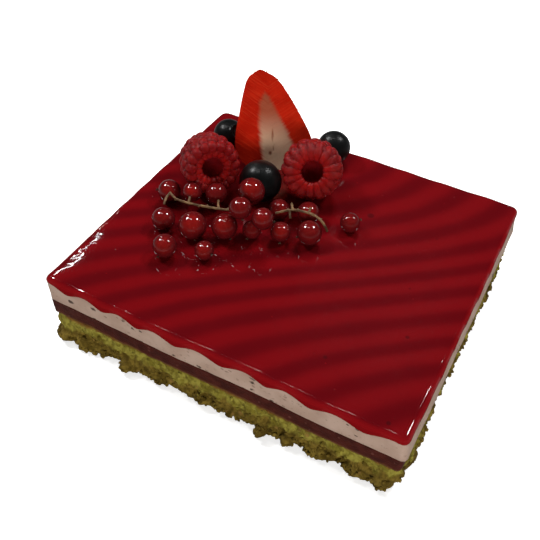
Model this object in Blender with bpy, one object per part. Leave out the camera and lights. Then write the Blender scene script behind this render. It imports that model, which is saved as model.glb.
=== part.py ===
"""Strawberry pistachio entremet: a cut square of layered mousse cake with fruit on top.

A craggy pistachio sponge carries a dark fruit jelly, a strawberry mousse combed into
ripples, and a red glaze that fills the ripples and is flat on top. Fruit lies on the
glaze: half a strawberry, two raspberries, three blueberries and two sprigs of currants.
Sizes are in metres, +Z is up, and the long cut front faces -Y.
"""

import math

import bpy
import bmesh
from mathutils import Matrix, Vector, noise

MM = 0.001
GAP = 0.3 * MM  # clear space between pieces that touch

# The cut block: its four upright corners in plan, and the height of each layer.
FRONT_LEFT = Vector((-69.2, -58.7)) * MM
FRONT_RIGHT = Vector((67.7, -59.9)) * MM
BACK_RIGHT = Vector((68.0, 58.8)) * MM
BACK_LEFT = Vector((-65.6, 59.8)) * MM
SPONGE_HEIGHT = 14.1 * MM
JELLY_HEIGHT = 6.4 * MM
MOUSSE_AND_GLAZE_HEIGHT = 11.3 * MM
JELLY_BASE = SPONGE_HEIGHT
MOUSSE_BASE = JELLY_BASE + JELLY_HEIGHT
GLAZE_TOP = MOUSSE_BASE + MOUSSE_AND_GLAZE_HEIGHT

# Sides of the cut layers.
JELLY_INSET = 0.4 * MM
MOUSSE_INSET = 0.4 * MM
LAYER_CORNER_RADIUS = 3.0 * MM
LAYER_STEP = 8 * MM
SIDE_SWELL = 0.5 * MM
SIDE_SWELL_LENGTH = 34 * MM
GLAZE_RIM_RADIUS = 2.0 * MM
GLAZE_RIM_STEPS = 3

# Ripples of the mousse: the depth of glaze over them, and the comb's path in plan.
GLAZE_OVER_RIDGE = 3.1 * MM
GLAZE_OVER_VALLEY = 5.9 * MM
RIDGES_AT_FRONT_MM = [-67, -51, -36, -21.5, -5, 13, 28, 45, 64, 81]
RIPPLE_PITCH = 16.5 * MM
FARTHEST_RIDGE = -210 * MM  # a ridge that starts this far left still meets the back edge
RIDGE_ROUNDNESS = 0.75  # below 1 the ridges are broad and the valleys narrow
COMB_LEAN = 1.35  # sideways travel for each unit of travel back, at the comb's middle
COMB_MIDDLE_Y = -10 * MM
COMB_BEND = 83.0  # how quickly the path straightens away from its middle, per square metre
RIPPLE_STEPS = 6
RIPPLE_ROWS = 9
RIPPLE_OVERHANG = 8 * MM

# Crumb of the sponge.
SPONGE_INSET = 0.6 * MM
SPONGE_CORNER_RADIUS = 5.5 * MM
SPONGE_STEP = 3.2 * MM
SPONGE_LEVELS = [0.0, 0.06, 0.24, 0.41, 0.6, 0.8, 1.0]  # shares of the sponge's height
CRAG_DEPTH_TOP = 0.5 * MM
CRAG_DEPTH_FOOT = 2.1 * MM
CRAG_SIZE = 5.5 * MM
FOOT_SPREAD = 1.2 * MM
FOOT_INSET = 2.0 * MM
FOOT_LIFT = 1.6 * MM
LUMP_ROUGHNESS = 0.35
LUMP_GRAIN = 2.2 * MM

# Strawberry half. Its shares run from its foot to its tip.
STRAWBERRY_FOOT = Vector((-25.0, 33.0)) * MM
STRAWBERRY_HEIGHT = 40.5 * MM
STRAWBERRY_WIDTH = 31.2 * MM
STRAWBERRY_THICKNESS = 12.5 * MM
STRAWBERRY_TURN = math.radians(28)
STRAWBERRY_LEAN = math.radians(18)
STRAWBERRY_TIP_SHIFT = -6.6 * MM
STRAWBERRY_OUTLINE = [(0.0, 0.58), (0.04, 0.74), (0.1, 0.89), (0.2, 1.0), (0.36, 0.95),
                      (0.55, 0.78), (0.77, 0.55), (0.92, 0.33), (1.0, 0.0)]
STRAWBERRY_ROWS = 15
STRAWBERRY_AROUND = 12

# Raspberries. Shares run from the open end to the tip, and of the largest radius.
RASPBERRY_LENGTH = 20 * MM
RASPBERRY_RADIUS = 11.4 * MM
RASPBERRY_OUTLINE = [(0.0, 0.72), (0.06, 0.88), (0.2, 0.99), (0.4, 1.0), (0.6, 0.91),
                     (0.78, 0.7), (0.92, 0.42), (1.0, 0.17)]
RASPBERRY_MIDDLE = 0.45
RASPBERRY_HOLE_DEPTH = 12 * MM
RASPBERRY_HOLE_RADII = [1.6 * MM, 3.0 * MM, 4.2 * MM]
DRUPELETS_AROUND = 18
DRUPELET_ROWS = 7
DRUPELET_HEIGHT = 0.75 * MM

BLUEBERRY_FLATNESS = 0.93
CROWN_POINTS = 5
CROWN_WAVE = 0.09
CURRANT_FLATNESS = 0.98
STUB_RADIUS = 0.42 * MM
STUB_LENGTH = 1.0 * MM
STEM_RADIUS = 0.6 * MM
TWIG_RADIUS = 0.42 * MM
STEM_SIDES = 6


def clear_scene():
    for obj in list(bpy.data.objects):
        bpy.data.objects.remove(obj, do_unlink=True)


def food_material(name, color, roughness):
    material = bpy.data.materials.new(name)
    material.use_nodes = True
    shader = material.node_tree.nodes["Principled BSDF"]
    shader.inputs["Base Color"].default_value = (*color, 1.0)
    shader.inputs["Roughness"].default_value = roughness
    shader.inputs["Metallic"].default_value = 0.0
    material.diffuse_color = (*color, 1.0)
    return material


def add_piece(name, mesh, root, material=None, smooth_angle=None):
    obj = bpy.data.objects.new(name, mesh)
    bpy.context.scene.collection.objects.link(obj)
    obj.parent = root
    if material is not None:
        mesh.materials.append(material)
    if smooth_angle is not None:
        mesh.shade_smooth()
        mesh.set_sharp_from_angle(angle=math.radians(smooth_angle))
    return obj


def mesh_from(name, verts, faces):
    """A mesh with every face turned outwards."""
    mesh = bpy.data.meshes.new(name)
    mesh.from_pydata([tuple(vert) for vert in verts], [], faces)
    shape = bmesh.new()
    shape.from_mesh(mesh)
    bmesh.ops.recalc_face_normals(shape, faces=shape.faces)
    shape.to_mesh(mesh)
    shape.free()
    return mesh


def stacked_mesh(name, rings):
    """A closed solid from rings of equally many points, with its two end rings filled."""
    verts = [point for ring in rings for point in ring]
    count = len(rings[0])
    faces = [list(reversed(range(count)))]
    for row in range(len(rings) - 1):
        low = row * count
        for k in range(count):
            after = (k + 1) % count
            faces.append([low + k, low + after, low + count + after, low + count + k])
    faces.append([(len(rings) - 1) * count + k for k in range(count)])
    return mesh_from(name, verts, faces)


def smooth_value(keys, where):
    """A smooth curve through (position, value) keys, read at one position."""
    last = len(keys) - 1
    i = 0
    while i < last - 1 and where > keys[i + 1][0]:
        i += 1
    (x0, y0), (x1, y1) = keys[i], keys[i + 1]
    before = keys[max(i - 1, 0)]
    after = keys[min(i + 2, last)]
    slope0 = (y1 - before[1]) / (x1 - before[0])
    slope1 = (after[1] - y0) / (after[0] - x0)
    t = min(1.0, (where - x0) / (x1 - x0))
    blend = t * t * (3 - 2 * t)
    bend = (x1 - x0) * (slope0 * t * (1 - t) ** 2 - slope1 * t * t * (1 - t))
    return y0 + (y1 - y0) * blend + bend


def smooth_path(points, steps):
    """Points of a smooth curve that passes through the given ones."""
    keys = []
    for axis in range(3):
        keys.append([(i, point[axis]) for i, point in enumerate(points)])
    path = []
    for k in range((len(points) - 1) * steps + 1):
        path.append(Vector([smooth_value(keys[axis], k / steps) for axis in range(3)]))
    return path


def cut_with(obj, cutter, operation):
    cut = obj.modifiers.new(operation.lower(), "BOOLEAN")
    cut.operation = operation
    cut.object = cutter
    cutter.hide_render = True
    cutter.display_type = "WIRE"


def join_by_union(obj, helpers):
    """Fuses the helper objects into obj with one Boolean, then removes them."""
    group = bpy.data.collections.new(obj.name + "_helpers")
    bpy.context.scene.collection.children.link(group)
    for helper in helpers:
        bpy.context.scene.collection.objects.unlink(helper)
        group.objects.link(helper)
    union = obj.modifiers.new("union", "BOOLEAN")
    union.operation = "UNION"
    union.operand_type = "COLLECTION"
    union.collection = group
    union.solver = "EXACT"
    depsgraph = bpy.context.evaluated_depsgraph_get()
    fused = bpy.data.meshes.new_from_object(obj.evaluated_get(depsgraph))
    obj.modifiers.remove(union)
    obj.data = fused
    for helper in helpers:
        bpy.data.objects.remove(helper, do_unlink=True)
    bpy.data.collections.remove(group)


def sides_of_block(inset):
    """The block's corners after each side has moved in, with the way in and out of each."""
    corners = [FRONT_LEFT, FRONT_RIGHT, BACK_RIGHT, BACK_LEFT]
    sides = []
    for i, corner in enumerate(corners):
        along_in = (corner - corners[i - 1]).normalized()
        along_out = (corners[(i + 1) % 4] - corner).normalized()
        inward_in = Vector((-along_in.y, along_in.x))
        inward_out = Vector((-along_out.y, along_out.x))
        share = inset / (1 + inward_in.dot(inward_out))
        sides.append((corner + (inward_in + inward_out) * share, along_in, along_out))
    return sides


def block_outline(inset, step, radius):
    """Points round the block, counterclockwise from above, each with its outward direction."""
    corner_steps = 3
    arcs = []
    for corner, along_in, along_out in sides_of_block(inset):
        turn = along_in.angle(along_out)
        start = corner - along_in * radius * math.tan(turn / 2)
        centre = start + Vector((-along_in.y, along_in.x)) * radius
        arc = []
        for k in range(corner_steps + 1):
            spoke = Matrix.Rotation(turn * k / corner_steps, 2) @ (start - centre)
            arc.append((centre + spoke, spoke.normalized()))
        arcs.append(arc)
    points = []
    for i, arc in enumerate(arcs):
        points.extend(arc)
        run_start, outward = arc[-1]
        run_end = arcs[(i + 1) % 4][0][0]
        count = max(1, round((run_end - run_start).length / step))
        for k in range(1, count):
            points.append((run_start.lerp(run_end, k / count), outward))
    return points


def layer_mesh(name, inset, levels):
    """A slab of the block; each level is a height and how far its rim is drawn in."""
    outline = block_outline(inset, LAYER_STEP, LAYER_CORNER_RADIUS)
    rings = []
    for height, drawn_in in levels:
        ring = []
        for point, outward in outline:
            swell = SIDE_SWELL * noise.noise(point.to_3d() / SIDE_SWELL_LENGTH)
            place = point + outward * (swell - drawn_in)
            ring.append(Vector((place.x, place.y, height)))
        rings.append(ring)
    return stacked_mesh(name, rings)


def crumb_lumps(root):
    """Larger crumbs that stand out of the torn sides of the sponge, in millimetres."""
    # Along the front: distance from the middle, how far it stands out, height, radius.
    front = [(20, 1.4, 3.4, 2.7), (28, 1.5, 3.5, 2.9), (62, 0.8, 3.9, 2.9),
             (-5, 2.0, 3.6, 2.8), (-36, 1.6, 3.6, 2.6), (46, 0.6, 4.2, 2.4)]
    lumps = []
    for x, out, z, radius in front:
        lumps.append((x * MM, FRONT_LEFT.y - out * MM, z * MM, radius * MM))
    # Along the right and left sides: share of the way to the back, height, radius.
    for share, z, radius in [(0.12, 4.0, 2.2), (0.37, 3.6, 2.4), (0.66, 4.4, 2.2), (0.9, 3.6, 2.3)]:
        right = FRONT_RIGHT.lerp(BACK_RIGHT, share)
        left = FRONT_LEFT.lerp(BACK_LEFT, share)
        lumps.append((right.x - 2.0 * MM, right.y, z * MM, radius * MM))
        lumps.append((left.x - 0.4 * MM, left.y, z * MM, radius * MM))
    for share in (0.2, 0.48, 0.75):
        back = BACK_LEFT.lerp(BACK_RIGHT, share)
        lumps.append((back.x, back.y + 0.4 * MM, 3.8 * MM, 2.5 * MM))
    helpers = []
    for number, (x, y, z, radius) in enumerate(lumps):
        shape = bmesh.new()
        bmesh.ops.create_icosphere(shape, subdivisions=1, radius=radius)
        for vert in shape.verts:
            vert.co *= 1 + LUMP_ROUGHNESS * noise.noise(vert.co / LUMP_GRAIN + Vector((7, number, 0)))
        mesh = bpy.data.meshes.new("crumb")
        shape.to_mesh(mesh)
        shape.free()
        lump = add_piece("crumb_%02d" % number, mesh, root)
        lump.location = (x, y, z)
        helpers.append(lump)
    return helpers


def sponge_push(point, outward, height):
    """How far a point of the sponge's side stands out of the clean cut."""
    low_share = 1 - height / SPONGE_HEIGHT
    depth = CRAG_DEPTH_TOP + (CRAG_DEPTH_FOOT - CRAG_DEPTH_TOP) * low_share
    spot = Vector((point.x, point.y, 1.4 * height)) / CRAG_SIZE
    push = depth * (1.5 * noise.noise(spot) + 0.8 * noise.noise(2.3 * spot))
    if outward.y < -0.5:
        # The foot spreads most at the left of the front.
        push += FOOT_SPREAD * low_share * (0.9 - point.x / FRONT_RIGHT.x)
    elif outward.x < 0.5:
        push += FOOT_SPREAD * low_share
    return push


def build_sponge(root):
    """The pistachio sponge: even near its top, torn and craggy towards its flat underside."""
    outline = block_outline(SPONGE_INSET, SPONGE_STEP, SPONGE_CORNER_RADIUS)
    rings = []
    for level, share in enumerate(SPONGE_LEVELS):
        height = share * (SPONGE_HEIGHT - GAP / 2)
        ring = []
        for point, outward in outline:
            push = sponge_push(point, outward, height)
            lift = 0.0
            if level == 0:
                push = 0.4 * push - FOOT_INSET
            elif level == 1:
                lift = FOOT_LIFT * abs(noise.noise(1.3 * point.to_3d() / CRAG_SIZE))
            place = point + outward * push
            ring.append(Vector((place.x, place.y, height + lift)))
        rings.append(ring)
    material = food_material("pistachio_sponge", (0.13, 0.10, 0.018), 0.9)
    sponge = add_piece("pistachio_sponge", stacked_mesh("pistachio_sponge", rings), root, material)
    join_by_union(sponge, crumb_lumps(root))


def build_jelly(root):
    levels = [(JELLY_BASE + GAP / 2, 0.0), (MOUSSE_BASE - GAP / 2, 0.0)]
    mesh = layer_mesh("fruit_jelly_layer", JELLY_INSET, levels)
    add_piece("fruit_jelly_layer", mesh, root, food_material("fruit_jelly", (0.055, 0.014, 0.010), 0.4))


def comb_shift(y):
    """How far the comb has moved to the right on its way from the front to y."""
    def path(distance):
        return COMB_LEAN * distance - COMB_BEND * distance ** 3
    return path(y - COMB_MIDDLE_Y) - path(FRONT_LEFT.y - COMB_MIDDLE_Y)


def ripple_columns():
    """Where each line of the ripples starts at the front, and its height."""
    ridges = [x * MM for x in RIDGES_AT_FRONT_MM]
    while ridges[0] > FARTHEST_RIDGE:
        ridges.insert(0, ridges[0] - RIPPLE_PITCH)
    columns = []
    for left, right in zip(ridges, ridges[1:]):
        for k in range(RIPPLE_STEPS):
            share = k / RIPPLE_STEPS
            rise = (0.5 + 0.5 * math.cos(2 * math.pi * share)) ** RIDGE_ROUNDNESS
            depth = GLAZE_OVER_VALLEY + (GLAZE_OVER_RIDGE - GLAZE_OVER_VALLEY) * rise
            columns.append((left + (right - left) * share, GLAZE_TOP - depth))
    return columns


def ripple_mesh(name):
    """A block whose top is the combed mousse, wider than the cake on every side."""
    columns = ripple_columns()
    front = FRONT_LEFT.y - RIPPLE_OVERHANG
    back = BACK_LEFT.y + RIPPLE_OVERHANG
    verts = []
    for level in (None, JELLY_BASE):
        for row in range(RIPPLE_ROWS + 1):
            y = front + (back - front) * row / RIPPLE_ROWS
            for x, height in columns:
                verts.append((x + comb_shift(y), y, height if level is None else level))
    wide = len(columns)
    below = wide * (RIPPLE_ROWS + 1)
    faces = []
    for row in range(RIPPLE_ROWS):
        for i in range(wide - 1):
            a = row * wide + i
            faces.append([a, a + 1, a + wide + 1, a + wide])
            faces.append([below + a, below + a + wide, below + a + wide + 1, below + a + 1])
        for i in (0, wide - 1):
            a = row * wide + i
            faces.append([a, a + wide, below + a + wide, below + a])
    for row in (0, RIPPLE_ROWS):
        for i in range(wide - 1):
            a = row * wide + i
            faces.append([a, a + 1, below + a + 1, below + a])
    return mesh_from(name, verts, faces)


def build_mousse_and_glaze(root):
    """The mousse ends at its ripples; the glaze fills them and rounds over at its rim."""
    ripples = ripple_mesh("ripples")
    mousse_cutter = add_piece("mousse_ripples", ripples, root)
    glaze_cutter = add_piece("glaze_ripples", ripples.copy(), root)
    glaze_cutter.location.z = GAP

    mousse_levels = [(MOUSSE_BASE + GAP / 2, 0.0), (GLAZE_TOP - GLAZE_OVER_RIDGE / 2, 0.0)]
    mousse = add_piece("strawberry_mousse", layer_mesh("strawberry_mousse", MOUSSE_INSET, mousse_levels),
                       root, food_material("strawberry_mousse", (0.37, 0.25, 0.19), 0.6))
    cut_with(mousse, mousse_cutter, "INTERSECT")

    glaze_levels = [(GLAZE_TOP - GLAZE_OVER_VALLEY - 1 * MM, 0.0)]
    for k in range(GLAZE_RIM_STEPS + 1):
        angle = math.pi / 2 * k / GLAZE_RIM_STEPS
        height = GLAZE_TOP - GLAZE_RIM_RADIUS * (1 - math.sin(angle))
        glaze_levels.append((height, GLAZE_RIM_RADIUS * (1 - math.cos(angle))))
    glaze = add_piece("red_glaze", layer_mesh("red_glaze", 0.0, glaze_levels), root,
                      food_material("red_glaze", (0.16, 0.004, 0.006), 0.08), smooth_angle=50)
    cut_with(glaze, glaze_cutter, "DIFFERENCE")


def build_strawberry(root):
    """Half a strawberry, tip up: a flat cut face in front and the round skin behind."""
    rings = []
    for row in range(STRAWBERRY_ROWS):
        share = 0.985 * (row / (STRAWBERRY_ROWS - 1)) ** 0.9
        fullness = smooth_value(STRAWBERRY_OUTLINE, share)
        middle = STRAWBERRY_TIP_SHIFT * share ** 1.5
        ring = []
        for k in range(STRAWBERRY_AROUND + 1):
            angle = math.pi * k / STRAWBERRY_AROUND
            ring.append(Vector((middle + STRAWBERRY_WIDTH / 2 * fullness * math.cos(angle),
                                STRAWBERRY_THICKNESS * fullness * math.sin(angle),
                                share * STRAWBERRY_HEIGHT)))
        rings.append(ring)
    mesh = stacked_mesh("strawberry_half", rings)
    mesh.transform(Matrix.Rotation(STRAWBERRY_TURN, 4, "Z") @ Matrix.Rotation(-STRAWBERRY_LEAN, 4, "X"))
    trim_level(mesh)
    strawberry = add_piece("strawberry_half", mesh, root,
                           food_material("strawberry_flesh", (0.30, 0.012, 0.004), 0.35), smooth_angle=40)
    strawberry.location = (STRAWBERRY_FOOT.x, STRAWBERRY_FOOT.y, GLAZE_TOP + GAP)


def trim_level(mesh):
    """Cuts away what leans below the foot, so that the fruit stands flat."""
    shape = bmesh.new()
    shape.from_mesh(mesh)
    everything = shape.verts[:] + shape.edges[:] + shape.faces[:]
    bmesh.ops.bisect_plane(shape, geom=everything, dist=0.01 * MM, plane_co=(0, 0, 0),
                           plane_no=(0, 0, 1), clear_inner=True)
    bmesh.ops.holes_fill(shape, edges=[edge for edge in shape.edges if edge.is_boundary])
    bmesh.ops.recalc_face_normals(shape, faces=shape.faces)
    shape.to_mesh(mesh)
    shape.free()


def raspberry_mesh(name, size):
    """A hollow raspberry, open towards +Z, with its drupelets as bumps in staggered rows."""
    around = 2 * DRUPELETS_AROUND
    along = 2 * DRUPELET_ROWS
    rim = RASPBERRY_LENGTH * RASPBERRY_MIDDLE
    floor = rim - RASPBERRY_HOLE_DEPTH
    rings = []
    for radius, height in zip(RASPBERRY_HOLE_RADII, (floor, floor + 1.5 * MM, rim - 1.4 * MM)):
        rings.append([(radius, height)] * around)
    for row in range(along + 1):
        fullness = smooth_value(RASPBERRY_OUTLINE, row / along)
        stagger = (row // 2) % 2
        ring = []
        for k in range(around):
            on_crest = row % 2 == 1 and (k + stagger) % 2 == 0
            bump = DRUPELET_HEIGHT if on_crest else 0.0
            ring.append(((RASPBERRY_RADIUS + bump) * fullness, rim - RASPBERRY_LENGTH * row / along))
        rings.append(ring)
    placed = []
    for ring in rings:
        points = []
        for k, (radius, height) in enumerate(ring):
            angle = 2 * math.pi * k / around
            points.append(Vector((radius * math.cos(angle), radius * math.sin(angle), height)) * size)
        placed.append(points)
    return stacked_mesh(name, placed)


def pointing(turn_degrees, rise_degrees):
    """A direction: turned from the front (-Y) towards +X, then raised."""
    turn = math.radians(turn_degrees)
    rise = math.radians(rise_degrees)
    return Vector((math.sin(turn) * math.cos(rise), -math.cos(turn) * math.cos(rise), math.sin(rise)))


def set_on_glaze(obj, x, y, direction, lift=0.0):
    """Turns a piece so that its own +Z follows the direction, with its lowest point on the glaze."""
    turned = direction.to_track_quat("Z", "Y").to_matrix().to_4x4()
    lowest = min((turned @ vert.co).z for vert in obj.data.vertices)
    height = GLAZE_TOP + GAP + lift - lowest
    obj.matrix_local = Matrix.Translation((x * MM, y * MM, height)) @ turned


def build_raspberries(root):
    material = food_material("raspberry_red", (0.17, 0.011, 0.010), 0.45)
    # Place in plan in millimetres, size against the larger one, and where the open end faces.
    for name, x, y, size, facing in [("raspberry_left", -44.7, 13.3, 0.97, (47, 15)),
                                     ("raspberry_right", -7.2, 29.0, 1.0, (27, 27))]:
        berry = add_piece(name, raspberry_mesh(name, size), root, material, smooth_angle=70)
        set_on_glaze(berry, x, y, pointing(*facing))


def turned_mesh(name, profile, around, waves=0, wave_row=None):
    """A closed turned shape; the profile of (radius, height) runs from pole to pole."""
    verts = [(0.0, 0.0, profile[0][1])]
    for row, (radius, height) in enumerate(profile[1:-1]):
        for k in range(around):
            angle = 2 * math.pi * k / around
            wave = CROWN_WAVE * math.cos(waves * angle) if row == wave_row else 0.0
            reach = radius * (1 + wave / 2)
            verts.append((reach * math.cos(angle), reach * math.sin(angle), height + radius * wave))
    verts.append((0.0, 0.0, profile[-1][1]))
    bands = len(profile) - 3
    top = len(verts) - 1
    faces = []
    for k in range(around):
        after = (k + 1) % around
        faces.append([0, 1 + after, 1 + k])
        for row in range(bands):
            low = 1 + row * around
            faces.append([low + k, low + after, low + around + after, low + around + k])
        faces.append([1 + bands * around + k, 1 + bands * around + after, top])
    return mesh_from(name, verts, faces)


def ball_profile(radius, flatness, first_angle, last_angle, steps):
    """Points of a slightly flattened ball, from low to high, by angle above its equator."""
    profile = []
    for k in range(steps + 1):
        angle = math.radians(first_angle + (last_angle - first_angle) * k / steps)
        profile.append((radius * math.cos(angle), radius * flatness * math.sin(angle)))
    return profile


def blueberry_mesh(name, radius):
    """A blueberry with its five-pointed crown, a raised lip round a sunk disc, at +Z."""
    profile = [(0.0, -radius * BLUEBERRY_FLATNESS)]
    profile += ball_profile(radius, BLUEBERRY_FLATNESS, -70, 62, 7)
    profile += [(radius * 0.40, radius * 0.96), (radius * 0.26, radius * 0.82), (0.0, radius * 0.80)]
    lip_row = len(profile) - 4
    return turned_mesh(name, profile, 3 * CROWN_POINTS, CROWN_POINTS, lip_row)


def build_blueberries(root):
    material = food_material("blueberry_skin", (0.010, 0.010, 0.012), 0.5)
    # Place in plan and diameter in millimetres, and where the crown points.
    berries = [
        ("blueberry_front", -22.4, 15.1, 16.2, (200, 20)),
        ("blueberry_back_left", -49.2, 37.2, 13.0, (75, 40)),
        ("blueberry_back_right", -7.6, 49.8, 13.4, (170, 15)),
    ]
    for name, x, y, diameter, crown in berries:
        berry = add_piece(name, blueberry_mesh(name, diameter / 2 * MM), root, material, smooth_angle=50)
        set_on_glaze(berry, x, y, pointing(*crown))


def currant_mesh(name, radius):
    """A currant with its dried flower stub at +Z."""
    profile = [(0.0, -radius * CURRANT_FLATNESS)]
    profile += ball_profile(radius, CURRANT_FLATNESS, -62, 82, 5)
    profile += [(STUB_RADIUS, radius + STUB_LENGTH / 2), (0.0, radius + STUB_LENGTH)]
    return turned_mesh(name, profile, 10)


def build_currants(root):
    material = food_material("currant_skin", (0.11, 0.007, 0.008), 0.12)
    # In millimetres: place in plan, height held above the glaze, diameter; where the stub points.
    left_sprig = [
        (-52.4, -3.1, 0.0, 9.4, (300, 10)),
        (-41.6, -2.8, 3.8, 7.8, (20, -40)),
        (-34.1, 2.1, 2.2, 8.6, (200, -30)),
        (-45.3, -17.2, 0.0, 9.2, (330, -45)),
        (-33.3, -16.0, 0.0, 11.0, (40, -50)),
        (-22.8, -10.9, 0.0, 10.2, (60, -40)),
        (-19.6, 2.9, 7.8, 10.6, (190, 10)),
        (-18.3, -7.2, 8.8, 8.5, (50, -60)),
        (-37.1, -29.0, 0.0, 9.3, (350, -35)),
        (-23.7, -23.7, 0.0, 7.6, (75, 10)),
    ]
    right_sprig = [
        (-9.4, -6.4, 6.9, 8.5, (95, 0)),
        (-10.7, 8.3, 0.0, 8.5, (210, -20)),
        (0.0, 11.2, 0.0, 9.1, (120, -30)),
        (5.2, 1.5, 0.0, 9.7, (300, -25)),
        (-4.5, -2.4, 0.0, 8.0, (20, -50)),
        (-14.2, -6.0, 0.0, 7.4, (0, -30)),
    ]
    loose = [(15.6, 14.8, 0.0, 8.1, (130, 10))]
    for number, (x, y, lift, diameter, stub) in enumerate(left_sprig + right_sprig + loose, start=1):
        name = "currant_%02d" % number
        radius = diameter / 2 * MM
        berry = add_piece(name, currant_mesh(name, radius), root, material, smooth_angle=60)
        turned = pointing(*stub).to_track_quat("Z", "Y").to_matrix().to_4x4()
        height = GLAZE_TOP + GAP + lift * MM + radius
        berry.matrix_local = Matrix.Translation((x * MM, y * MM, height)) @ turned


def tube_mesh(name, points, radius, steps=2):
    """A closed tube along a smooth curve through points in millimetres, slightly tapered."""
    path = smooth_path([Vector(point) * MM for point in points], steps)
    side = Vector((0, 0, 1))
    rings = []
    for i, place in enumerate(path):
        along = (path[min(i + 1, len(path) - 1)] - path[max(i - 1, 0)]).normalized()
        side = (side - along * side.dot(along)).normalized()
        other = along.cross(side)
        here = radius * (1 - 0.15 * i / (len(path) - 1))
        ring = []
        for k in range(STEM_SIDES):
            angle = 2 * math.pi * k / STEM_SIDES
            ring.append(place + (side * math.cos(angle) + other * math.sin(angle)) * here)
        rings.append(ring)
    return stacked_mesh(name, rings)


def build_stem(name, root, material, stalk_points, twigs):
    """A sprig's stem: a stalk with short twigs that lead to its berries."""
    stalk = add_piece(name, tube_mesh(name, stalk_points, STEM_RADIUS), root, material, smooth_angle=60)
    helpers = []
    for number, points in enumerate(twigs):
        helpers.append(add_piece("%s_twig_%d" % (name, number), tube_mesh("twig", points, TWIG_RADIUS), root))
    join_by_union(stalk, helpers)
    stalk.location.z = GLAZE_TOP


def build_stems(root):
    """The two stems, in millimetres, with heights above the glaze."""
    material = food_material("currant_stem", (0.105, 0.041, 0.022), 0.6)
    build_stem(
        "currant_stem_left", root, material,
        [(-46.9, -9.4, 10.8), (-45.0, -10.7, 9.8), (-39.9, -10.4, 9.5), (-35.5, -9.3, 9.2),
         (-31.4, -8.1, 9.0), (-27.0, -7.0, 9.0), (-23.9, -5.9, 9.0), (-21.9, -5.0, 9.2)],
        [
            [(-46.7, -9.6, 10.6), (-46.8, -12.4, 10.9), (-45.2, -15.8, 10.5)],
            [(-38.4, -10.1, 9.4), (-39.3, -8.6, 9.3), (-39.8, -7.2, 9.5)],
            [(-27.6, -7.1, 9.0), (-29.4, -4.6, 8.4), (-30.4, -2.4, 8.3)],
            [(-24.4, -6.0, 9.0), (-23.4, -3.2, 9.6), (-22.6, -1.6, 9.9)],
        ])
    build_stem(
        "currant_stem_right", root, material,
        [(-8.8, 1.7, 8.0), (-6.0, 4.2, 8.6), (-2.8, 5.5, 9.3), (1.0, 5.9, 9.7),
         (5.0, 5.6, 10.0), (8.2, 4.6, 9.5), (10.1, 4.2, 7.9), (10.9, 4.5, 5.6)],
        [
            [(-3.6, 5.2, 9.2), (-4.6, 7.0, 9.2), (-5.6, 8.2, 9.0)],
            [(2.6, 5.8, 9.9), (2.3, 7.6, 9.7), (1.9, 8.6, 9.7)],
            [(-4.6, 4.9, 8.9), (-3.9, 3.8, 7.8), (-3.4, 3.1, 6.8)],
        ])


def centre_on_origin(root):
    """Moves everything so that the middle of the underside is the origin."""
    depsgraph = bpy.context.evaluated_depsgraph_get()
    corners = []
    for obj in root.children:
        if obj.hide_render:
            continue
        shape = obj.evaluated_get(depsgraph)
        corners.extend(shape.matrix_world @ vert.co for vert in shape.data.vertices)
    lows = [min(corner[axis] for corner in corners) for axis in range(3)]
    highs = [max(corner[axis] for corner in corners) for axis in range(3)]
    root.location = (-(lows[0] + highs[0]) / 2, -(lows[1] + highs[1]) / 2, -lows[2])


def main():
    clear_scene()
    root = bpy.data.objects.new("entremet", None)
    bpy.context.scene.collection.objects.link(root)
    build_sponge(root)
    build_jelly(root)
    build_mousse_and_glaze(root)
    build_strawberry(root)
    build_raspberries(root)
    build_blueberries(root)
    build_currants(root)
    build_stems(root)
    bpy.context.view_layer.update()
    centre_on_origin(root)


main()
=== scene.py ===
# %% [markdown]
# # Strawberry pistachio entremet
# A square of mousse cake: pistachio sponge, dark fruit jelly, strawberry mousse and a red mirror glaze,
# with berries and half a strawberry on top. The solids come from the CAD model, which this script loads as
# a fixed frame. Everything here is drawn in that frame, in metres, with +Z up and the long cut front facing
# -Y.

# %% Load the frame
import math
import random

import bpy
import bmesh
import numpy as np
from mathutils import Matrix, Vector, noise


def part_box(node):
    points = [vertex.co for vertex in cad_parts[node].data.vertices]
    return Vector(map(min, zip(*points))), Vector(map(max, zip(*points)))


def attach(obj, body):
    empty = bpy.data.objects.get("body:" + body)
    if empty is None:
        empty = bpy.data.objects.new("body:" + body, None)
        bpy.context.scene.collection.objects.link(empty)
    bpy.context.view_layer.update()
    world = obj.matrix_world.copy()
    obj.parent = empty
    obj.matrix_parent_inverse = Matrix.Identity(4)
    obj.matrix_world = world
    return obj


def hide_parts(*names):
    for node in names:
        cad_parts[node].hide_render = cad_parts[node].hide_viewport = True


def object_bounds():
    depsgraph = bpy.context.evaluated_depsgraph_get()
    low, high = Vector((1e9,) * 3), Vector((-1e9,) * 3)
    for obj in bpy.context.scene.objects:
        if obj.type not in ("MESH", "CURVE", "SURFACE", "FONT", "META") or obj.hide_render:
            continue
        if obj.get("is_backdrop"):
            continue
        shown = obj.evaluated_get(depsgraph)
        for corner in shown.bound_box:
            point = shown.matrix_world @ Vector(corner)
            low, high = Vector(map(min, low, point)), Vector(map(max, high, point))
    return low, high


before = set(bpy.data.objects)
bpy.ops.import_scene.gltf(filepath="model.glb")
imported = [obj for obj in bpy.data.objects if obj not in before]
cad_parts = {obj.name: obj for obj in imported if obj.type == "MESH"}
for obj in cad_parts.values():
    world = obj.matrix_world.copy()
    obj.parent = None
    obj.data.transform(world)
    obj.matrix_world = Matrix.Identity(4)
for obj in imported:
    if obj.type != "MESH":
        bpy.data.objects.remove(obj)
CAD_LOW, CAD_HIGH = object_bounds()
MM = 0.001
print("CAD box in mm:", [round(v / MM, 1) for v in CAD_HIGH - CAD_LOW])

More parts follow.
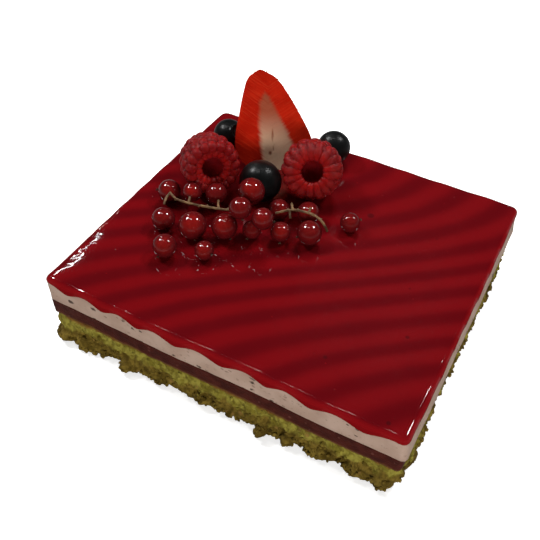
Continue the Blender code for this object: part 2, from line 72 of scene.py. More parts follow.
# %% [markdown]
# ## Plan of the block
# A real entremet is cut with a hot knife, so it is almost square but not quite. The four corners are named
# once, and every layer is drawn from the same outline, moved in a little. The solids were centred on their
# box after they were made, so the outline is shifted until it lies on the glaze.

# %% Corners and layer heights
FRONT_LEFT = Vector((-69.2, -58.7)) * MM
FRONT_RIGHT = Vector((67.7, -59.9)) * MM
BACK_RIGHT = Vector((68.0, 58.8)) * MM
BACK_LEFT = Vector((-65.6, 59.8)) * MM
GLAZE_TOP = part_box("red_glaze")[1].z
JELLY_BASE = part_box("pistachio_sponge")[1].z
MOUSSE_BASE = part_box("fruit_jelly_layer")[1].z
CORNER_RADIUS = 3.0 * MM
CUT_RADIUS = 1.8 * MM
SWELL = 0.5 * MM
SWELL_LENGTH = 34 * MM


def block_corners(inset):
    """The corners after each side has moved in, with the way in and out of each corner."""
    corners = [FRONT_LEFT, FRONT_RIGHT, BACK_RIGHT, BACK_LEFT]
    found = []
    for i, corner in enumerate(corners):
        along_in = (corner - corners[i - 1]).normalized()
        along_out = (corners[(i + 1) % 4] - corner).normalized()
        inward = Vector((-along_in.y - along_out.y, along_in.x + along_out.x))
        found.append((corner + inward * inset / (1 + along_in.dot(along_out)), along_in, along_out))
    return found


def outline(inset, step, radius=CORNER_RADIUS):
    """Points round the block every step, and the outward direction at each, as two arrays."""
    arcs = []
    for corner, along_in, along_out in block_corners(inset):
        turn = along_in.angle(along_out)
        start = corner - along_in * radius * math.tan(turn / 2)
        centre = start + Vector((-along_in.y, along_in.x)) * radius
        count = max(3, round(turn * radius / step))
        spokes = [Matrix.Rotation(turn * k / count, 2) @ (start - centre) for k in range(count + 1)]
        arcs.append([(centre + spoke, spoke.normalized()) for spoke in spokes])
    points = []
    for i, arc in enumerate(arcs):
        points.extend(arc)
        (start, outward), end = arc[-1], arcs[(i + 1) % 4][0][0]
        count = max(1, round((end - start).length / step))
        points.extend((start.lerp(end, k / count), outward) for k in range(1, count))
    plan = np.array([point for point, outward in points])
    return plan, np.array([outward for point, outward in points])


def swollen(plan, outward):
    """The outline with the slight waves of a soft cut side."""
    waves = [noise.noise(Vector((x, y, 0)) / SWELL_LENGTH) for x, y in plan]
    return plan + outward * SWELL * np.array(waves)[:, None]


rim = swollen(*outline(0.0, 1 * MM))
glaze_low, glaze_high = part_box("red_glaze")
SHIFT = np.array((glaze_low + glaze_high)[:2]) / 2 - (rim.min(0) + rim.max(0)) / 2
print("the outline is shifted by", np.round(SHIFT / MM, 2), "mm to lie on the solids")

# %% [markdown]
# ## Ripples of the mousse
# The cook drew a comb over the soft mousse, and the clear glaze then filled the furrows. Where the mousse
# stands high the glaze is thin and looks bright red; in the furrows it is deep and looks dark. One rule
# gives the height of the mousse anywhere, and both layers and the colour of the glaze read it.

# %% Height of the combed mousse
RIDGES_AT_FRONT = [x * MM for x in (-67, -51, -36, -21.5, -5, 13, 28, 45, 64, 81)]
RIPPLE_PITCH = 16.5 * MM
while RIDGES_AT_FRONT[0] > -210 * MM:
    RIDGES_AT_FRONT.insert(0, RIDGES_AT_FRONT[0] - RIPPLE_PITCH)
GLAZE_OVER_RIDGE = 2.2 * MM
GLAZE_OVER_VALLEY = 4.8 * MM
COMB_LEAN, COMB_BEND, COMB_MIDDLE_Y = 1.35, 83.0, -10 * MM


def comb_shift(y):
    """How far the comb has moved to the right on its way from the front to y."""
    def path(distance):
        return COMB_LEAN * distance - COMB_BEND * distance ** 3
    return path(y - COMB_MIDDLE_Y) - path(FRONT_LEFT.y - COMB_MIDDLE_Y)


def ridge_wave(x, y):
    """An even wave that is 1 on a ridge of the mousse and 0 in a furrow; x and y may be arrays."""
    start = x - comb_shift(y)
    ridges = np.array(RIDGES_AT_FRONT)
    i = np.clip(np.searchsorted(ridges, start) - 1, 0, len(ridges) - 2)
    share = (start - ridges[i]) / (ridges[i + 1] - ridges[i])
    return 0.5 + 0.5 * np.cos(2 * np.pi * share)


def mousse_height(x, y):
    return GLAZE_TOP - GLAZE_OVER_VALLEY + (GLAZE_OVER_VALLEY - GLAZE_OVER_RIDGE) * ridge_wave(x, y) ** 0.75


print("ridges that cross the cake:", len(RIDGES_AT_FRONT) - 1)

# %% [markdown]
# ## Camera
# The camera repeats the photo's view, looking down at about 46 degrees onto the front right corner. Its
# place and angles were fitted to the corners of the cake in the photo, and are given from the middle of the
# glaze's top.

# %% Camera
VIEW_TURN = math.radians(27.89)
VIEW_RISE = math.radians(45.92)
VIEW_ROLL = math.radians(0.58)
CAMERA_OVER_TOP = Vector((84.36, -178.04, 187.31)) * MM

back = Vector((math.sin(VIEW_TURN) * math.cos(VIEW_RISE), -math.cos(VIEW_TURN) * math.cos(VIEW_RISE),
               math.sin(VIEW_RISE)))
level = (-back).cross(Vector((0, 0, 1))).normalized()
upright = level.cross(-back)
right = level * math.cos(VIEW_ROLL) + upright * math.sin(VIEW_ROLL)
up = upright * math.cos(VIEW_ROLL) - level * math.sin(VIEW_ROLL)
camera_data = bpy.data.cameras.new("camera")
camera_data.sensor_width = 36
camera_data.lens = 49.416
camera_data.clip_start = 0.01
camera = bpy.data.objects.new("camera", camera_data)
bpy.context.scene.collection.objects.link(camera)
camera.matrix_world = Matrix.Translation(CAMERA_OVER_TOP + Vector((*SHIFT, GLAZE_TOP))) @ Matrix(
    (right, up, back)).transposed().to_4x4()
bpy.context.scene.camera = camera
bpy.context.scene.view_settings.view_transform = "Standard"
print("camera stands", round(CAMERA_OVER_TOP.length / MM), "mm from the middle of the glaze")

# %% [markdown]
# ## Building node trees
# Blender's materials and Geometry Nodes are trees of small nodes. By hand they are placed and joined with
# the mouse. In a script a few short calls keep that readable: each adds one node and joins it to what it is
# given.

# %% A few short calls for building node trees


def add_node(tree, kind, inputs=None, **settings):
    """Adds a node. An input that is given another node's output is joined to it."""
    node = tree.nodes.new(kind)
    for key, value in settings.items():
        setattr(node, key, value)
    for key, value in (inputs or {}).items():
        if isinstance(value, bpy.types.NodeSocket):
            tree.links.new(value, node.inputs[key])
        else:
            node.inputs[key].default_value = value
    return node


def blend_colors(tree, factor, first, second):
    """The output of a Mix node between two colours, each a tuple or another output."""
    first = (*first, 1.0) if isinstance(first, tuple) else first
    second = (*second, 1.0) if isinstance(second, tuple) else second
    return add_node(tree, "ShaderNodeMix", {0: factor, 6: first, 7: second}, data_type="RGBA").outputs[2]


def maths(tree, operation, first, second=0.0):
    return add_node(tree, "ShaderNodeMath", {0: first, 1: second}, operation=operation).outputs[0]


def smooth_range(tree, value, low, high, to_low=0.0, to_high=1.0):
    """The value mapped smoothly from one range to another."""
    node = add_node(tree, "ShaderNodeMapRange", {0: value, 1: low, 2: high, 3: to_low, 4: to_high},
                    interpolation_type="SMOOTHSTEP")
    return node.outputs[0]


print("node helpers are ready")

# %% [markdown]
# ## Floor, lights and room
# The cake stands on pure white in the photo, so the floor glows a little, but only where the camera looks
# at it. Two windows of two panes give the paired highlights on the berries, a narrow window draws the
# streak on the left rim, and a row of short ceiling tubes draws the broken line on the front rim. None of
# them is mirrored in the flat glaze from here. Two broad fills, which nothing mirrors, light the sides. The
# room is dim overhead and paler near the floor, so the glaze stays deep red and the berries get pale edges.

# %% Floor
bpy.ops.mesh.primitive_plane_add(size=4, location=(0, 0, -0.0002))
floor = bpy.context.object
floor.name = "floor"
floor_material = bpy.data.materials.new("pale_floor")
floor_material.use_nodes = True
tree = floor_material.node_tree
tree.nodes["Principled BSDF"].inputs["Roughness"].default_value = 0.9
seen = add_node(tree, "ShaderNodeLightPath").outputs["Is Camera Ray"]
tree.links.new(blend_colors(tree, seen, (0.22, 0.22, 0.22), (0.9, 0.9, 0.9)),
               tree.nodes["Principled BSDF"].inputs["Base Color"])
tree.nodes["Principled BSDF"].inputs["Emission Color"].default_value = (1, 1, 1, 1)
tree.links.new(maths(tree, "MULTIPLY", seen, 0.6), tree.nodes["Principled BSDF"].inputs["Emission Strength"])
floor.data.materials.append(floor_material)
floor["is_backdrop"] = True
print("floor material:", len(tree.nodes), "nodes")

# %% Lights
PANE_WIDTH, PANE_HEIGHT, PANE_OFFSET = 0.045, 0.11, 0.05
TUBE_WIDTH, TUBE_LENGTH, TUBE_PITCH, TUBE_WATTS = 0.03, 0.048, 0.085, 0.2


def add_light(name, direction, distance, width, height, watts):
    """A soft rectangular light that looks at the middle of the cake."""
    light = bpy.data.lights.new(name, "AREA")
    light.shape = "RECTANGLE"
    light.size, light.size_y = width, height
    light.energy = watts
    obj = bpy.data.objects.new(name, light)
    bpy.context.scene.collection.objects.link(obj)
    way = Vector(direction).normalized()
    obj.matrix_world = Matrix.Translation(way * distance + Vector((0, 0, GLAZE_TOP))) @ way.to_track_quat(
        "Z", "Y").to_matrix().to_4x4()
    return obj


for pane, direction, watts in (("left_pane", (-0.643, -0.012, 0.761), 2.2),
                               ("right_pane", (0.394, 0.449, 0.801), 1.8)):
    sideways = Vector((0, 0, 1)).cross(Vector(direction)).normalized()
    for name, offset in ((pane + "_a", -PANE_OFFSET), (pane + "_b", PANE_OFFSET)):
        add_light(name, Vector(direction) + sideways * offset, 1.0, PANE_WIDTH, PANE_HEIGHT, watts)
add_light("left_window", (-0.68, 0.45, 0.58), 1.2, 0.11, 0.014, 0.42)
for number in range(6):
    # A row of short tubes: each draws one piece of the broken bright line along the front rim.
    along_row = TUBE_PITCH * number - 0.15
    direction = (-0.32 + 0.95 * along_row, 0.0, 0.95 + 0.32 * along_row)
    add_light("ceiling_tube_%d" % number, direction, 1.0, TUBE_WIDTH, TUBE_LENGTH, TUBE_WATTS)
for name, direction, width, watts in (("front_fill", (0.48, -0.85, 0.24), 0.9, 7.9),
                                      ("back_fill", (-0.15, 0.65, 0.74), 0.25, 7.0)):
    add_light(name, direction, 1.1, width, 0.3, watts).visible_glossy = False

# %% Room
room = bpy.data.worlds.new("room")
bpy.context.scene.world = room
room.use_nodes = True
tree = room.node_tree
path = add_node(tree, "ShaderNodeLightPath")
way_out = add_node(tree, "ShaderNodeTexCoord").outputs["Generated"]
height = add_node(tree, "ShaderNodeSeparateXYZ", {0: way_out}).outputs[2]
mirrored = smooth_range(tree, height, 0.05, 0.35, 0.10, 0.015)
level = add_node(tree, "ShaderNodeMix", {0: path.outputs["Is Glossy Ray"], 2: 0.11, 3: mirrored})
tree.nodes["Background"].inputs["Color"].default_value = (1, 1, 1, 1)
tree.links.new(level.outputs[0], tree.nodes["Background"].inputs["Strength"])
print("room:", len(tree.nodes), "nodes")

# %% [markdown]
# ## Shared effects
# Cake, glaze and fruit all have small random marks and soft changes of colour. Two shader groups make them,
# and each material places a group with its own scale and colours.

# %% Shader group for soft changes of colour
mottle_group = bpy.data.node_groups.new("mottle", "ShaderNodeTree")
for label, kind in (("Vector", "NodeSocketVector"), ("Scale", "NodeSocketFloat"),
                    ("Detail", "NodeSocketFloat"), ("Low Color", "NodeSocketColor"),
                    ("High Color", "NodeSocketColor")):
    mottle_group.interface.new_socket(label, in_out="INPUT", socket_type=kind)
for label, kind in (("Color", "NodeSocketColor"), ("Mask", "NodeSocketFloat")):
    mottle_group.interface.new_socket(label, in_out="OUTPUT", socket_type=kind)
given = add_node(mottle_group, "NodeGroupInput").outputs
cloud = add_node(mottle_group, "ShaderNodeTexNoise",
                 {"Vector": given["Vector"], "Scale": given["Scale"], "Detail": given["Detail"]}).outputs[0]
mask = smooth_range(mottle_group, cloud, 0.33, 0.67)
shade = blend_colors(mottle_group, mask, given["Low Color"], given["High Color"])
add_node(mottle_group, "NodeGroupOutput", {"Color": shade, "Mask": mask})
print("mottle group:", len(mottle_group.nodes), "nodes")

# %% Shader group for scattered specks
speck_group = bpy.data.node_groups.new("specks", "ShaderNodeTree")
for label, kind in (("Vector", "NodeSocketVector"), ("Scale", "NodeSocketFloat"), ("Size", "NodeSocketFloat"),
                    ("Share", "NodeSocketFloat")):
    speck_group.interface.new_socket(label, in_out="INPUT", socket_type=kind)
speck_group.interface.new_socket("Mask", in_out="OUTPUT", socket_type="NodeSocketFloat")
given = add_node(speck_group, "NodeGroupInput").outputs
cells = add_node(speck_group, "ShaderNodeTexVoronoi", {"Vector": given["Vector"], "Scale": given["Scale"]})
chance = add_node(speck_group, "ShaderNodeSeparateColor", {0: cells.outputs["Color"]}).outputs
uneven = maths(speck_group, "MULTIPLY", maths(speck_group, "POWER", chance[1], 2.0), 1.3)
spread = maths(speck_group, "ADD", uneven, 0.3)
reach = maths(speck_group, "MULTIPLY", given["Size"], spread)
near = maths(speck_group, "SUBTRACT", 1.0, maths(speck_group, "DIVIDE", cells.outputs["Distance"], reach))
chosen = maths(speck_group, "LESS_THAN", chance[0], given["Share"])
soft = smooth_range(speck_group, near, 0.0, 0.45)
add_node(speck_group, "NodeGroupOutput", {"Mask": maths(speck_group, "MULTIPLY", soft, chosen)})
print("specks group:", len(speck_group.nodes), "nodes")

# %% [markdown]
# ## Short calls for materials and meshes
# Every finish below starts from the same shader, and most layers of the cake are rings of points joined
# into a closed mesh. The calls in the next two cells hold those steps once, so that each finish reads as a
# short list of what is on the real surface.

# %% Short calls for materials


def start_finish(name, **fixed):
    """A material whose Principled BSDF has these fixed values; underscores stand for spaces."""
    material = bpy.data.materials.new(name)
    material.use_nodes = True
    shader = material.node_tree.nodes["Principled BSDF"]
    for key, value in fixed.items():
        shader.inputs[key.replace("_", " ")].default_value = value
    where = add_node(material.node_tree, "ShaderNodeTexCoord").outputs["Object"]
    return material, material.node_tree, shader, where


def mottled(tree, where, scale, low, high, detail=3.0):
    """Places the mottle group; it gives a colour and a mask."""
    values = {"Vector": where, "Scale": scale, "Detail": detail,
              "Low Color": (*low, 1), "High Color": (*high, 1)}
    return add_node(tree, "ShaderNodeGroup", values, node_tree=mottle_group).outputs


def specks(tree, where, scale, size, share):
    """Places the specks group: a mask of dots of this size, in this share of the cells."""
    values = {"Vector": where, "Scale": scale, "Size": size, "Share": share}
    return add_node(tree, "ShaderNodeGroup", values, node_tree=speck_group).outputs["Mask"]


def noise_height(tree, where, scale, detail=2.0):
    values = {"Vector": where, "Scale": scale, "Detail": detail}
    return add_node(tree, "ShaderNodeTexNoise", values).outputs[0]


def scaled_vector(tree, vector, factor):
    return add_node(tree, "ShaderNodeVectorMath", {0: vector, 3: factor}, operation="SCALE").outputs[0]


def noise_color(tree, where, scale, detail=2.0):
    """Three noises at once, as a colour or a direction."""
    values = {"Vector": where, "Scale": scale, "Detail": detail}
    return add_node(tree, "ShaderNodeTexNoise", values).outputs["Color"]


def bump(tree, shader, height, distance, strength=1.0):
    """Feeds a bump of this depth into the shader's normal."""
    node = add_node(tree, "ShaderNodeBump", {"Height": height, "Distance": distance, "Strength": strength})
    tree.links.new(node.outputs["Normal"], shader.inputs["Normal"])


def attribute(tree, name):
    return add_node(tree, "ShaderNodeAttribute", attribute_name=name).outputs["Fac"]


print("material helpers are ready")

# %% Short calls for meshes


def ring_mesh(name, rings, values=None):
    """A closed mesh from rings of equally many points, low to high, with values stored at the points."""
    count = len(rings[0])
    verts = np.concatenate(rings)
    verts[:, :2] += SHIFT
    k = np.arange(count)
    after = (k + 1) % count
    faces = [list(reversed(range(count)))]
    for row in range(len(rings) - 1):
        low = row * count
        faces.extend(np.stack([low + k, low + after, low + count + after, low + count + k], 1).tolist())
    faces.append(((len(rings) - 1) * count + k).tolist())
    mesh = bpy.data.meshes.new(name)
    mesh.from_pydata(verts.tolist(), [], faces)
    for label, numbers in (values or {}).items():
        mesh.attributes.new(label, "FLOAT", "POINT").data.foreach_set("value", np.concatenate(numbers))
    mesh.shade_smooth()
    return mesh


def add_piece(name, mesh, material, slot, *nodes):
    """Adds a finished mesh that rides on the cake and stands for these CAD nodes."""
    obj = bpy.data.objects.new(name, mesh)
    bpy.context.scene.collection.objects.link(obj)
    mesh.materials.clear()
    mesh.materials.append(material)
    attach(obj, "root")
    if nodes:
        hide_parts(*nodes)
    print(name, "has", sum(len(p.vertices) - 2 for p in mesh.polygons), "triangles")


def at_height(plan, z):
    """Points in plan given one height, or one each."""
    return np.column_stack([plan, np.broadcast_to(z, len(plan))])


print("mesh helpers are ready")

# %% [markdown]
# ## Red glaze
# A mirror glaze sets level with a softly rounded rim. Its mesh is a set of rings: under the glaze they
# follow the combed mousse, then they go up the side, round the rim and in over the flat top. Each point
# stores how deep the glaze is there and how far down the rim it lies. The material turns the depth into
# light or dark red, paints the lip a brighter red as painted light for the weaker light on its side, and
# lets the shine of the lip break over each furrow.

# %% Glaze mesh
RIM_RADIUS = 2.0 * MM
TOP_RINGS, SIDE_RINGS, RIM_RINGS = 70, 7, 8


def distances_inside(plan):
    """How far each point lies inside the front, right, back and left sides."""
    corners = [FRONT_LEFT, FRONT_RIGHT, BACK_RIGHT, BACK_LEFT]
    found = []
    for i, corner in enumerate(corners):
        along = (corners[(i + 1) % 4] - corner).normalized()
        found.append((plan[:, 1] - corner.y) * along.x - (plan[:, 0] - corner.x) * along.y)
    return np.clip(found, 0, None)


side_plan, side_out = outline(0.0, 1.1 * MM)
side = swollen(side_plan, side_out)
middle = side.mean(0)
rings, depth, down, restless = [], [], [], []


def add_glaze_ring(plan, z, below):
    """Adds a ring with its depth of glaze, how far down the rim it lies, and how restless its surface is."""
    rings.append(at_height(plan, z))
    depth.append(1 - ridge_wave(*plan.T))
    down.append(np.full(len(plan), below))
    fade = np.exp(-distances_inside(plan) / (5 * MM))
    restless.append(fade[3] * np.exp(-((plan[:, 1] + 36 * MM) / (14 * MM)) ** 2) + 0.2 * fade.max(0))


for k in range(TOP_RINGS // 2):
    plan = middle + (side - middle) * (k + 0.3) / (TOP_RINGS // 2)
    add_glaze_ring(plan, mousse_height(*plan.T), 1.0)
for k in range(SIDE_RINGS):
    share = k / (SIDE_RINGS - 1)
    z = mousse_height(*side.T) * (1 - share) + (GLAZE_TOP - RIM_RADIUS) * share
    add_glaze_ring(side, z, 1.0)
for k in range(1, RIM_RINGS + 1):
    angle = math.pi / 2 * k / RIM_RINGS
    plan = side - side_out * RIM_RADIUS * (1 - math.cos(angle))
    add_glaze_ring(plan, GLAZE_TOP - RIM_RADIUS * (1 - math.sin(angle)), 1 - k / RIM_RINGS)
top = side - side_out * RIM_RADIUS
for k in range(1, TOP_RINGS):
    add_glaze_ring(middle + (top - middle) * (1 - k / TOP_RINGS), GLAZE_TOP, 0.0)
for ring in rings[TOP_RINGS // 2 + SIDE_RINGS:]:
    # Near the rim the surface dips a little over the furrows, which breaks its highlight.
    fade = np.exp(-distances_inside(ring[:, :2]) / (2.6 * MM))
    waves = np.array([noise.noise(Vector((x, y, 5)) / (6 * MM)) for x, y in ring[:, :2]])
    dip = (0.34 * (1 - ridge_wave(*ring[:, :2].T)) + 0.06 * (1 + waves)) * fade.sum(0)
    dip += 0.9 * np.exp(-((ring[:, 1] + 42 * MM) / (16 * MM)) ** 2) * fade[3] ** 0.65
    ring[:, 2] -= dip * MM
glaze_mesh = ring_mesh("glaze", rings, {"depth": depth, "down": down, "restless": restless})
print("rings of the glaze:", len(rings), "of", len(side), "points")

# %% Glaze finish
glaze, tree, shader, where = start_finish("red_mirror_glaze", Roughness=0.07, IOR=1.45)
deep = attribute(tree, "depth")
wobble = maths(tree, "MULTIPLY", maths(tree, "SUBTRACT", noise_height(tree, where, 90), 0.5), 0.5)
darkness = smooth_range(tree, maths(tree, "ADD", deep, wobble), -0.1, 1.1)
place_x = add_node(tree, "ShaderNodeSeparateXYZ", {0: where}).outputs[0]
to_right = smooth_range(tree, place_x, -0.03, 0.06)
bright = blend_colors(tree, to_right, (0.146, 0.0024, 0.0042), (0.146, 0.0030, 0.0048))
flat_red = blend_colors(tree, darkness, bright, (0.090, 0.0018, 0.0036))
# The lip is painted a brighter red than the top: painted light for the weaker light that reaches its side.
lip_red_with_painted_light = blend_colors(tree, deep, (0.25, 0.005, 0.007), (0.23, 0.005, 0.007))
below_top = attribute(tree, "down")
red = blend_colors(tree, smooth_range(tree, below_top, 0.1, 0.7), flat_red, lip_red_with_painted_light)
seeds = specks(tree, where, 150, 0.16, 0.12)
red = blend_colors(tree, maths(tree, "MULTIPLY", seeds, 0.6), red, (0.03, 0.003, 0.004))
tree.links.new(red, shader.inputs["Base Color"])
print("glaze colour:", len(tree.nodes), "nodes")

# %% Shine and unevenness of the glaze
over_furrow = smooth_range(tree, maths(tree, "ADD", deep, wobble), 0.35, 0.65)
dull = maths(tree, "MULTIPLY", smooth_range(tree, below_top, 0.0, 0.12), over_furrow)
kept_shine = smooth_range(tree, dull, 0.0, 1.0, 1.0, 0.05)
shine = maths(tree, "MULTIPLY", smooth_range(tree, below_top, 0.4, 0.9, 0.5, 0.03), kept_shine)
tree.links.new(shine, shader.inputs["Specular IOR Level"])
how_restless = maths(tree, "MULTIPLY", attribute(tree, "restless"), 0.7)
ruffle = maths(tree, "MULTIPLY", noise_height(tree, where, 420, 1.0), how_restless)
bump(tree, shader, maths(tree, "ADD", noise_height(tree, where, 45, 1.0), ruffle), 0.00035)
add_piece("glaze", glaze_mesh, glaze, "red_glaze", "red_glaze")

# %% [markdown]
# ## Strawberry mousse
# The cut side of the mousse is smooth and pale, with dark seed specks dragged sideways by the knife. A
# little red glaze has soaked into its upper edge, so each point stores how far below the glaze it lies.

# %% Mousse mesh
plan, out = outline(0.4 * MM, 0.9 * MM, CUT_RADIUS)
plan = swollen(plan, out)
wall = mousse_height(*plan.T)
rings, under = [at_height(plan, MOUSSE_BASE)], [(wall - MOUSSE_BASE) / MM]
SIDE_ROWS, LID_RINGS = 14, 40
for k in range(SIDE_ROWS + 1):
    z = MOUSSE_BASE + (wall - MOUSSE_BASE) * k / SIDE_ROWS
    dents = [noise.noise(Vector((x, y, 1.5 * h)) / (5 * MM)) for (x, y), h in zip(plan, z)]
    bulge = 0.9 * MM * (1 - k / SIDE_ROWS) * np.clip(out[:, 0], 0, 1) ** 2
    rings.append(at_height(plan + out * (bulge + 0.14 * MM * np.array(dents))[:, None], z))
    under.append((wall - z) / MM)
for k in range(1, LID_RINGS):
    inner = plan.mean(0) + (plan - plan.mean(0)) * (1 - k / LID_RINGS)
    rings.append(at_height(inner, mousse_height(*inner.T) - 0.02 * MM))
    under.append(np.zeros(len(plan)))
mousse_mesh = ring_mesh("mousse", rings, {"under": under})
print("the mousse is", round(wall.min() / MM, 1), "to", round(wall.max() / MM, 1), "mm high at its side")

# %% Mousse finish
mousse, tree, shader, where = start_finish("cut_strawberry_mousse", Roughness=0.55)
cream = mottled(tree, where, 120, (0.485, 0.325, 0.243), (0.58, 0.41, 0.318))["Color"]
dragged = add_node(tree, "ShaderNodeMapping", {"Vector": where, "Scale": (0.7, 0.7, 1.0)}).outputs[0]
wander = scaled_vector(tree, noise_color(tree, where, 900.0), 1.1 * MM)
smeared = add_node(tree, "ShaderNodeVectorMath", {0: dragged, 1: wander}).outputs[0]
crowded = smooth_range(tree, noise_height(tree, where, 110, 1.0), 0.42, 0.62, 0.15, 0.7)
cream = blend_colors(tree, maths(tree, "MULTIPLY", specks(tree, smeared, 1000, 0.45, 0.35), crowded),
                     cream, (0.20, 0.11, 0.075))
cream = blend_colors(tree, maths(tree, "MULTIPLY", specks(tree, smeared, 430, 0.30, 0.30), 0.95),
                     cream, (0.06, 0.030, 0.018))
stain = smooth_range(tree, attribute(tree, "under"), 0.0, 0.6, 0.8, 0.0)
cream = blend_colors(tree, stain, cream, (0.36, 0.09, 0.08))
tree.links.new(cream, shader.inputs["Base Color"])
bump(tree, shader, noise_height(tree, where, 900, 3.0), 0.00012)
add_piece("mousse", mousse_mesh, mousse, "strawberry_mousse", "strawberry_mousse")

# %% [markdown]
# ## Fruit jelly
# A thin firm layer of dark fruit. The knife leaves it slightly uneven and shiny, and it has soaked into the
# crumb below, so the line between jelly and sponge wanders up and down a little. Both layers read that
# line.

# %% Jelly mesh
JELLY_ROWS = 10


def soaked_line(x, y):
    """How far the border of jelly and sponge lies below its mean height."""
    coarse, fine = Vector((x, y, 0)) / (4 * MM), Vector((x, y, 1)) / (1.6 * MM)
    return 0.5 * MM * (noise.noise(coarse) + 0.5 * noise.noise(fine))


plan, out = outline(0.4 * MM, 0.7 * MM, CUT_RADIUS)
plan = swollen(plan, out)
foot = JELLY_BASE + np.array([soaked_line(x, y) for x, y in plan]) - 0.1 * MM
rings, rise = [], []
for k in range(JELLY_ROWS + 1):
    z = foot + (MOUSSE_BASE - foot) * k / JELLY_ROWS
    dents = [noise.noise(Vector((x, y, h)) / (3 * MM)) + 0.6 * noise.noise(Vector((x, y, h)) / (1.1 * MM))
             for (x, y), h in zip(plan, z)]
    rings.append(at_height(plan + out * 0.13 * MM * np.array(dents)[:, None], z))
    rise.append(np.full(len(plan), k / JELLY_ROWS))
jelly_mesh = ring_mesh("jelly", rings, {"rise": rise})
print("the foot of the jelly wanders by", round((foot.max() - foot.min()) / MM, 2), "mm")

# %% Jelly finish
jelly, tree, shader, where = start_finish("dark_fruit_jelly", Roughness=0.5, Specular_IOR_Level=0.1)
brown = mottled(tree, where, 260, (0.048, 0.0095, 0.0065), (0.080, 0.0155, 0.010))["Color"]
brown = blend_colors(tree, maths(tree, "MULTIPLY", specks(tree, where, 700, 0.32, 0.15), 0.5),
                     brown, (0.20, 0.075, 0.055))
edge = smooth_range(tree, attribute(tree, "rise"), 0.0, 0.22, 0.75, 0.0)
brown = blend_colors(tree, edge, brown, (0.16, 0.06, 0.022))
tree.links.new(brown, shader.inputs["Base Color"])
bump(tree, shader, noise_height(tree, where, 1300, 3.0), 0.00018)
add_piece("jelly", jelly_mesh, jelly, "fruit_jelly", "fruit_jelly_layer")

# %% [markdown]
# ## Pistachio sponge
# The sponge is torn rather than cut: fine and bright green near the jelly, brown and craggy towards the
# bottom. Its sides are a dense mesh that noise pushes in and out at three scales, with small holes.
# Geometry Nodes then scatter loose crumbs over the lower part, where the knife dragged them out.

# %% Sponge mesh
SPONGE_STEP = 0.5 * MM
SPONGE_ROWS = 27
# Lumps along the foot of the front: place, how far out, height and radius, in mm.
LUMPS = [(19.5, 2.2, 3.2, 2.3), (28.5, 2.3, 3.2, 2.4), (62, 1.4, 3.9, 2.9), (-5, 2.4, 3.6, 2.8),
         (-36, 2.0, 3.6, 2.6), (46, 1.2, 4.2, 2.4)]


def torn_side(x, y, z, outward):
    """How far a point of the sponge's side stands out of the clean cut."""
    low = 1 - z / JELLY_BASE
    # Large crags, and pillows between cracks, both deeper towards the bottom.
    spot = Vector((x, y, 1.4 * z)) / (5.5 * MM)
    depth = (0.5 + 1.6 * low) * MM
    push = depth * (1.3 * noise.noise(spot) + 0.5 * noise.noise(2.3 * spot))
    pillow = noise.voronoi(Vector((x, y, z)) / ((2.2 + 1.6 * low) * MM))[0]
    push += (0.5 + 1.1 * low) * MM * (min(1.0, pillow[1] - pillow[0]) ** 0.6 - 0.5)
    # Each side leans in its own way, and the front has lumps.
    if outward[1] < -0.5:
        push += 1.2 * MM * low * (0.9 - x / FRONT_RIGHT.x)
        for lump_x, out, lump_z, radius in LUMPS:
            near = 1 - ((x / MM - lump_x) ** 2 + (z / MM - lump_z) ** 2) / radius ** 2
            push += 1.25 * out * MM * max(0.0, near) ** 0.5
    elif outward[0] < -0.5:
        push -= 1.3 * MM * low * min(1.0, max(0.0, (10 * MM - y) / (40 * MM)))
    elif outward[0] < 0.5:
        push += 1.2 * MM * low
    # Fine crumb, and small holes.
    crumb = Vector((x, y, z)) / (1.7 * MM)
    push += (0.3 + 0.2 * low) * MM * noise.noise(crumb) + 0.12 * MM * noise.noise(2.4 * crumb)
    near = noise.voronoi(Vector((x, y, 1.3 * z)) / (3.2 * MM))[0][0]
    push -= (0.5 + 1.3 * low) * MM * max(0.0, 1 - near / 0.34)
    return push


plan, out = outline(0.6 * MM, SPONGE_STEP, 5.5 * MM)
border = JELLY_BASE + np.array([soaked_line(x, y) for x, y in plan])
rings, lows = [], []
for k in range(SPONGE_ROWS + 1):
    share = k / SPONGE_ROWS
    z = border * share
    push = np.array([torn_side(x, y, h, o) for (x, y), o, h in zip(plan, out, z)])
    if k == 0:
        # The foot draws in where the sponge rests on its board.
        push = 0.4 * push - 2.0 * MM
    elif k == 1:
        push = 0.8 * push - 0.7 * MM
    rings.append(at_height(plan + out * push[:, None], z))
    lows.append(np.full(len(plan), 1 - share))
inner = middle + (plan - middle) * 0.9
rings.append(at_height(inner, JELLY_BASE - 0.3 * MM))
lows.append(np.zeros(len(plan)))
sponge_mesh = ring_mesh("sponge", rings, {"low": lows})
print("points round the sponge:", len(plan))

# %% Sponge finish
sponge, tree, shader, where = start_finish("torn_pistachio_sponge", Roughness=0.9, Specular_IOR_Level=0.2)
green = mottled(tree, where, 420, (0.20, 0.160, 0.020), (0.36, 0.305, 0.052))["Color"]
olive = mottled(tree, where, 330, (0.09, 0.056, 0.008), (0.23, 0.153, 0.026))["Color"]
torn = maths(tree, "ADD", attribute(tree, "low"), maths(
    tree, "MULTIPLY", maths(tree, "SUBTRACT", noise_height(tree, where, 230), 0.5), 0.7))
color = blend_colors(tree, smooth_range(tree, torn, 0.30, 0.52), green, olive)
stretched = add_node(tree, "ShaderNodeMapping", {"Vector": where, "Scale": (1.0, 1.0, 0.35)}).outputs[0]
ribs = noise_height(tree, stretched, 800, 2.0)
# The ribs are painted darker in their furrows, where the bump dips: painted shade.
color = blend_colors(tree, smooth_range(tree, ribs, 0.50, 0.36, 0.0, 0.45), color, (0.075, 0.048, 0.008))
color = blend_colors(tree, maths(tree, "MULTIPLY", specks(tree, where, 420, 0.32, 0.3), 0.65), color,
                     (0.035, 0.022, 0.005))
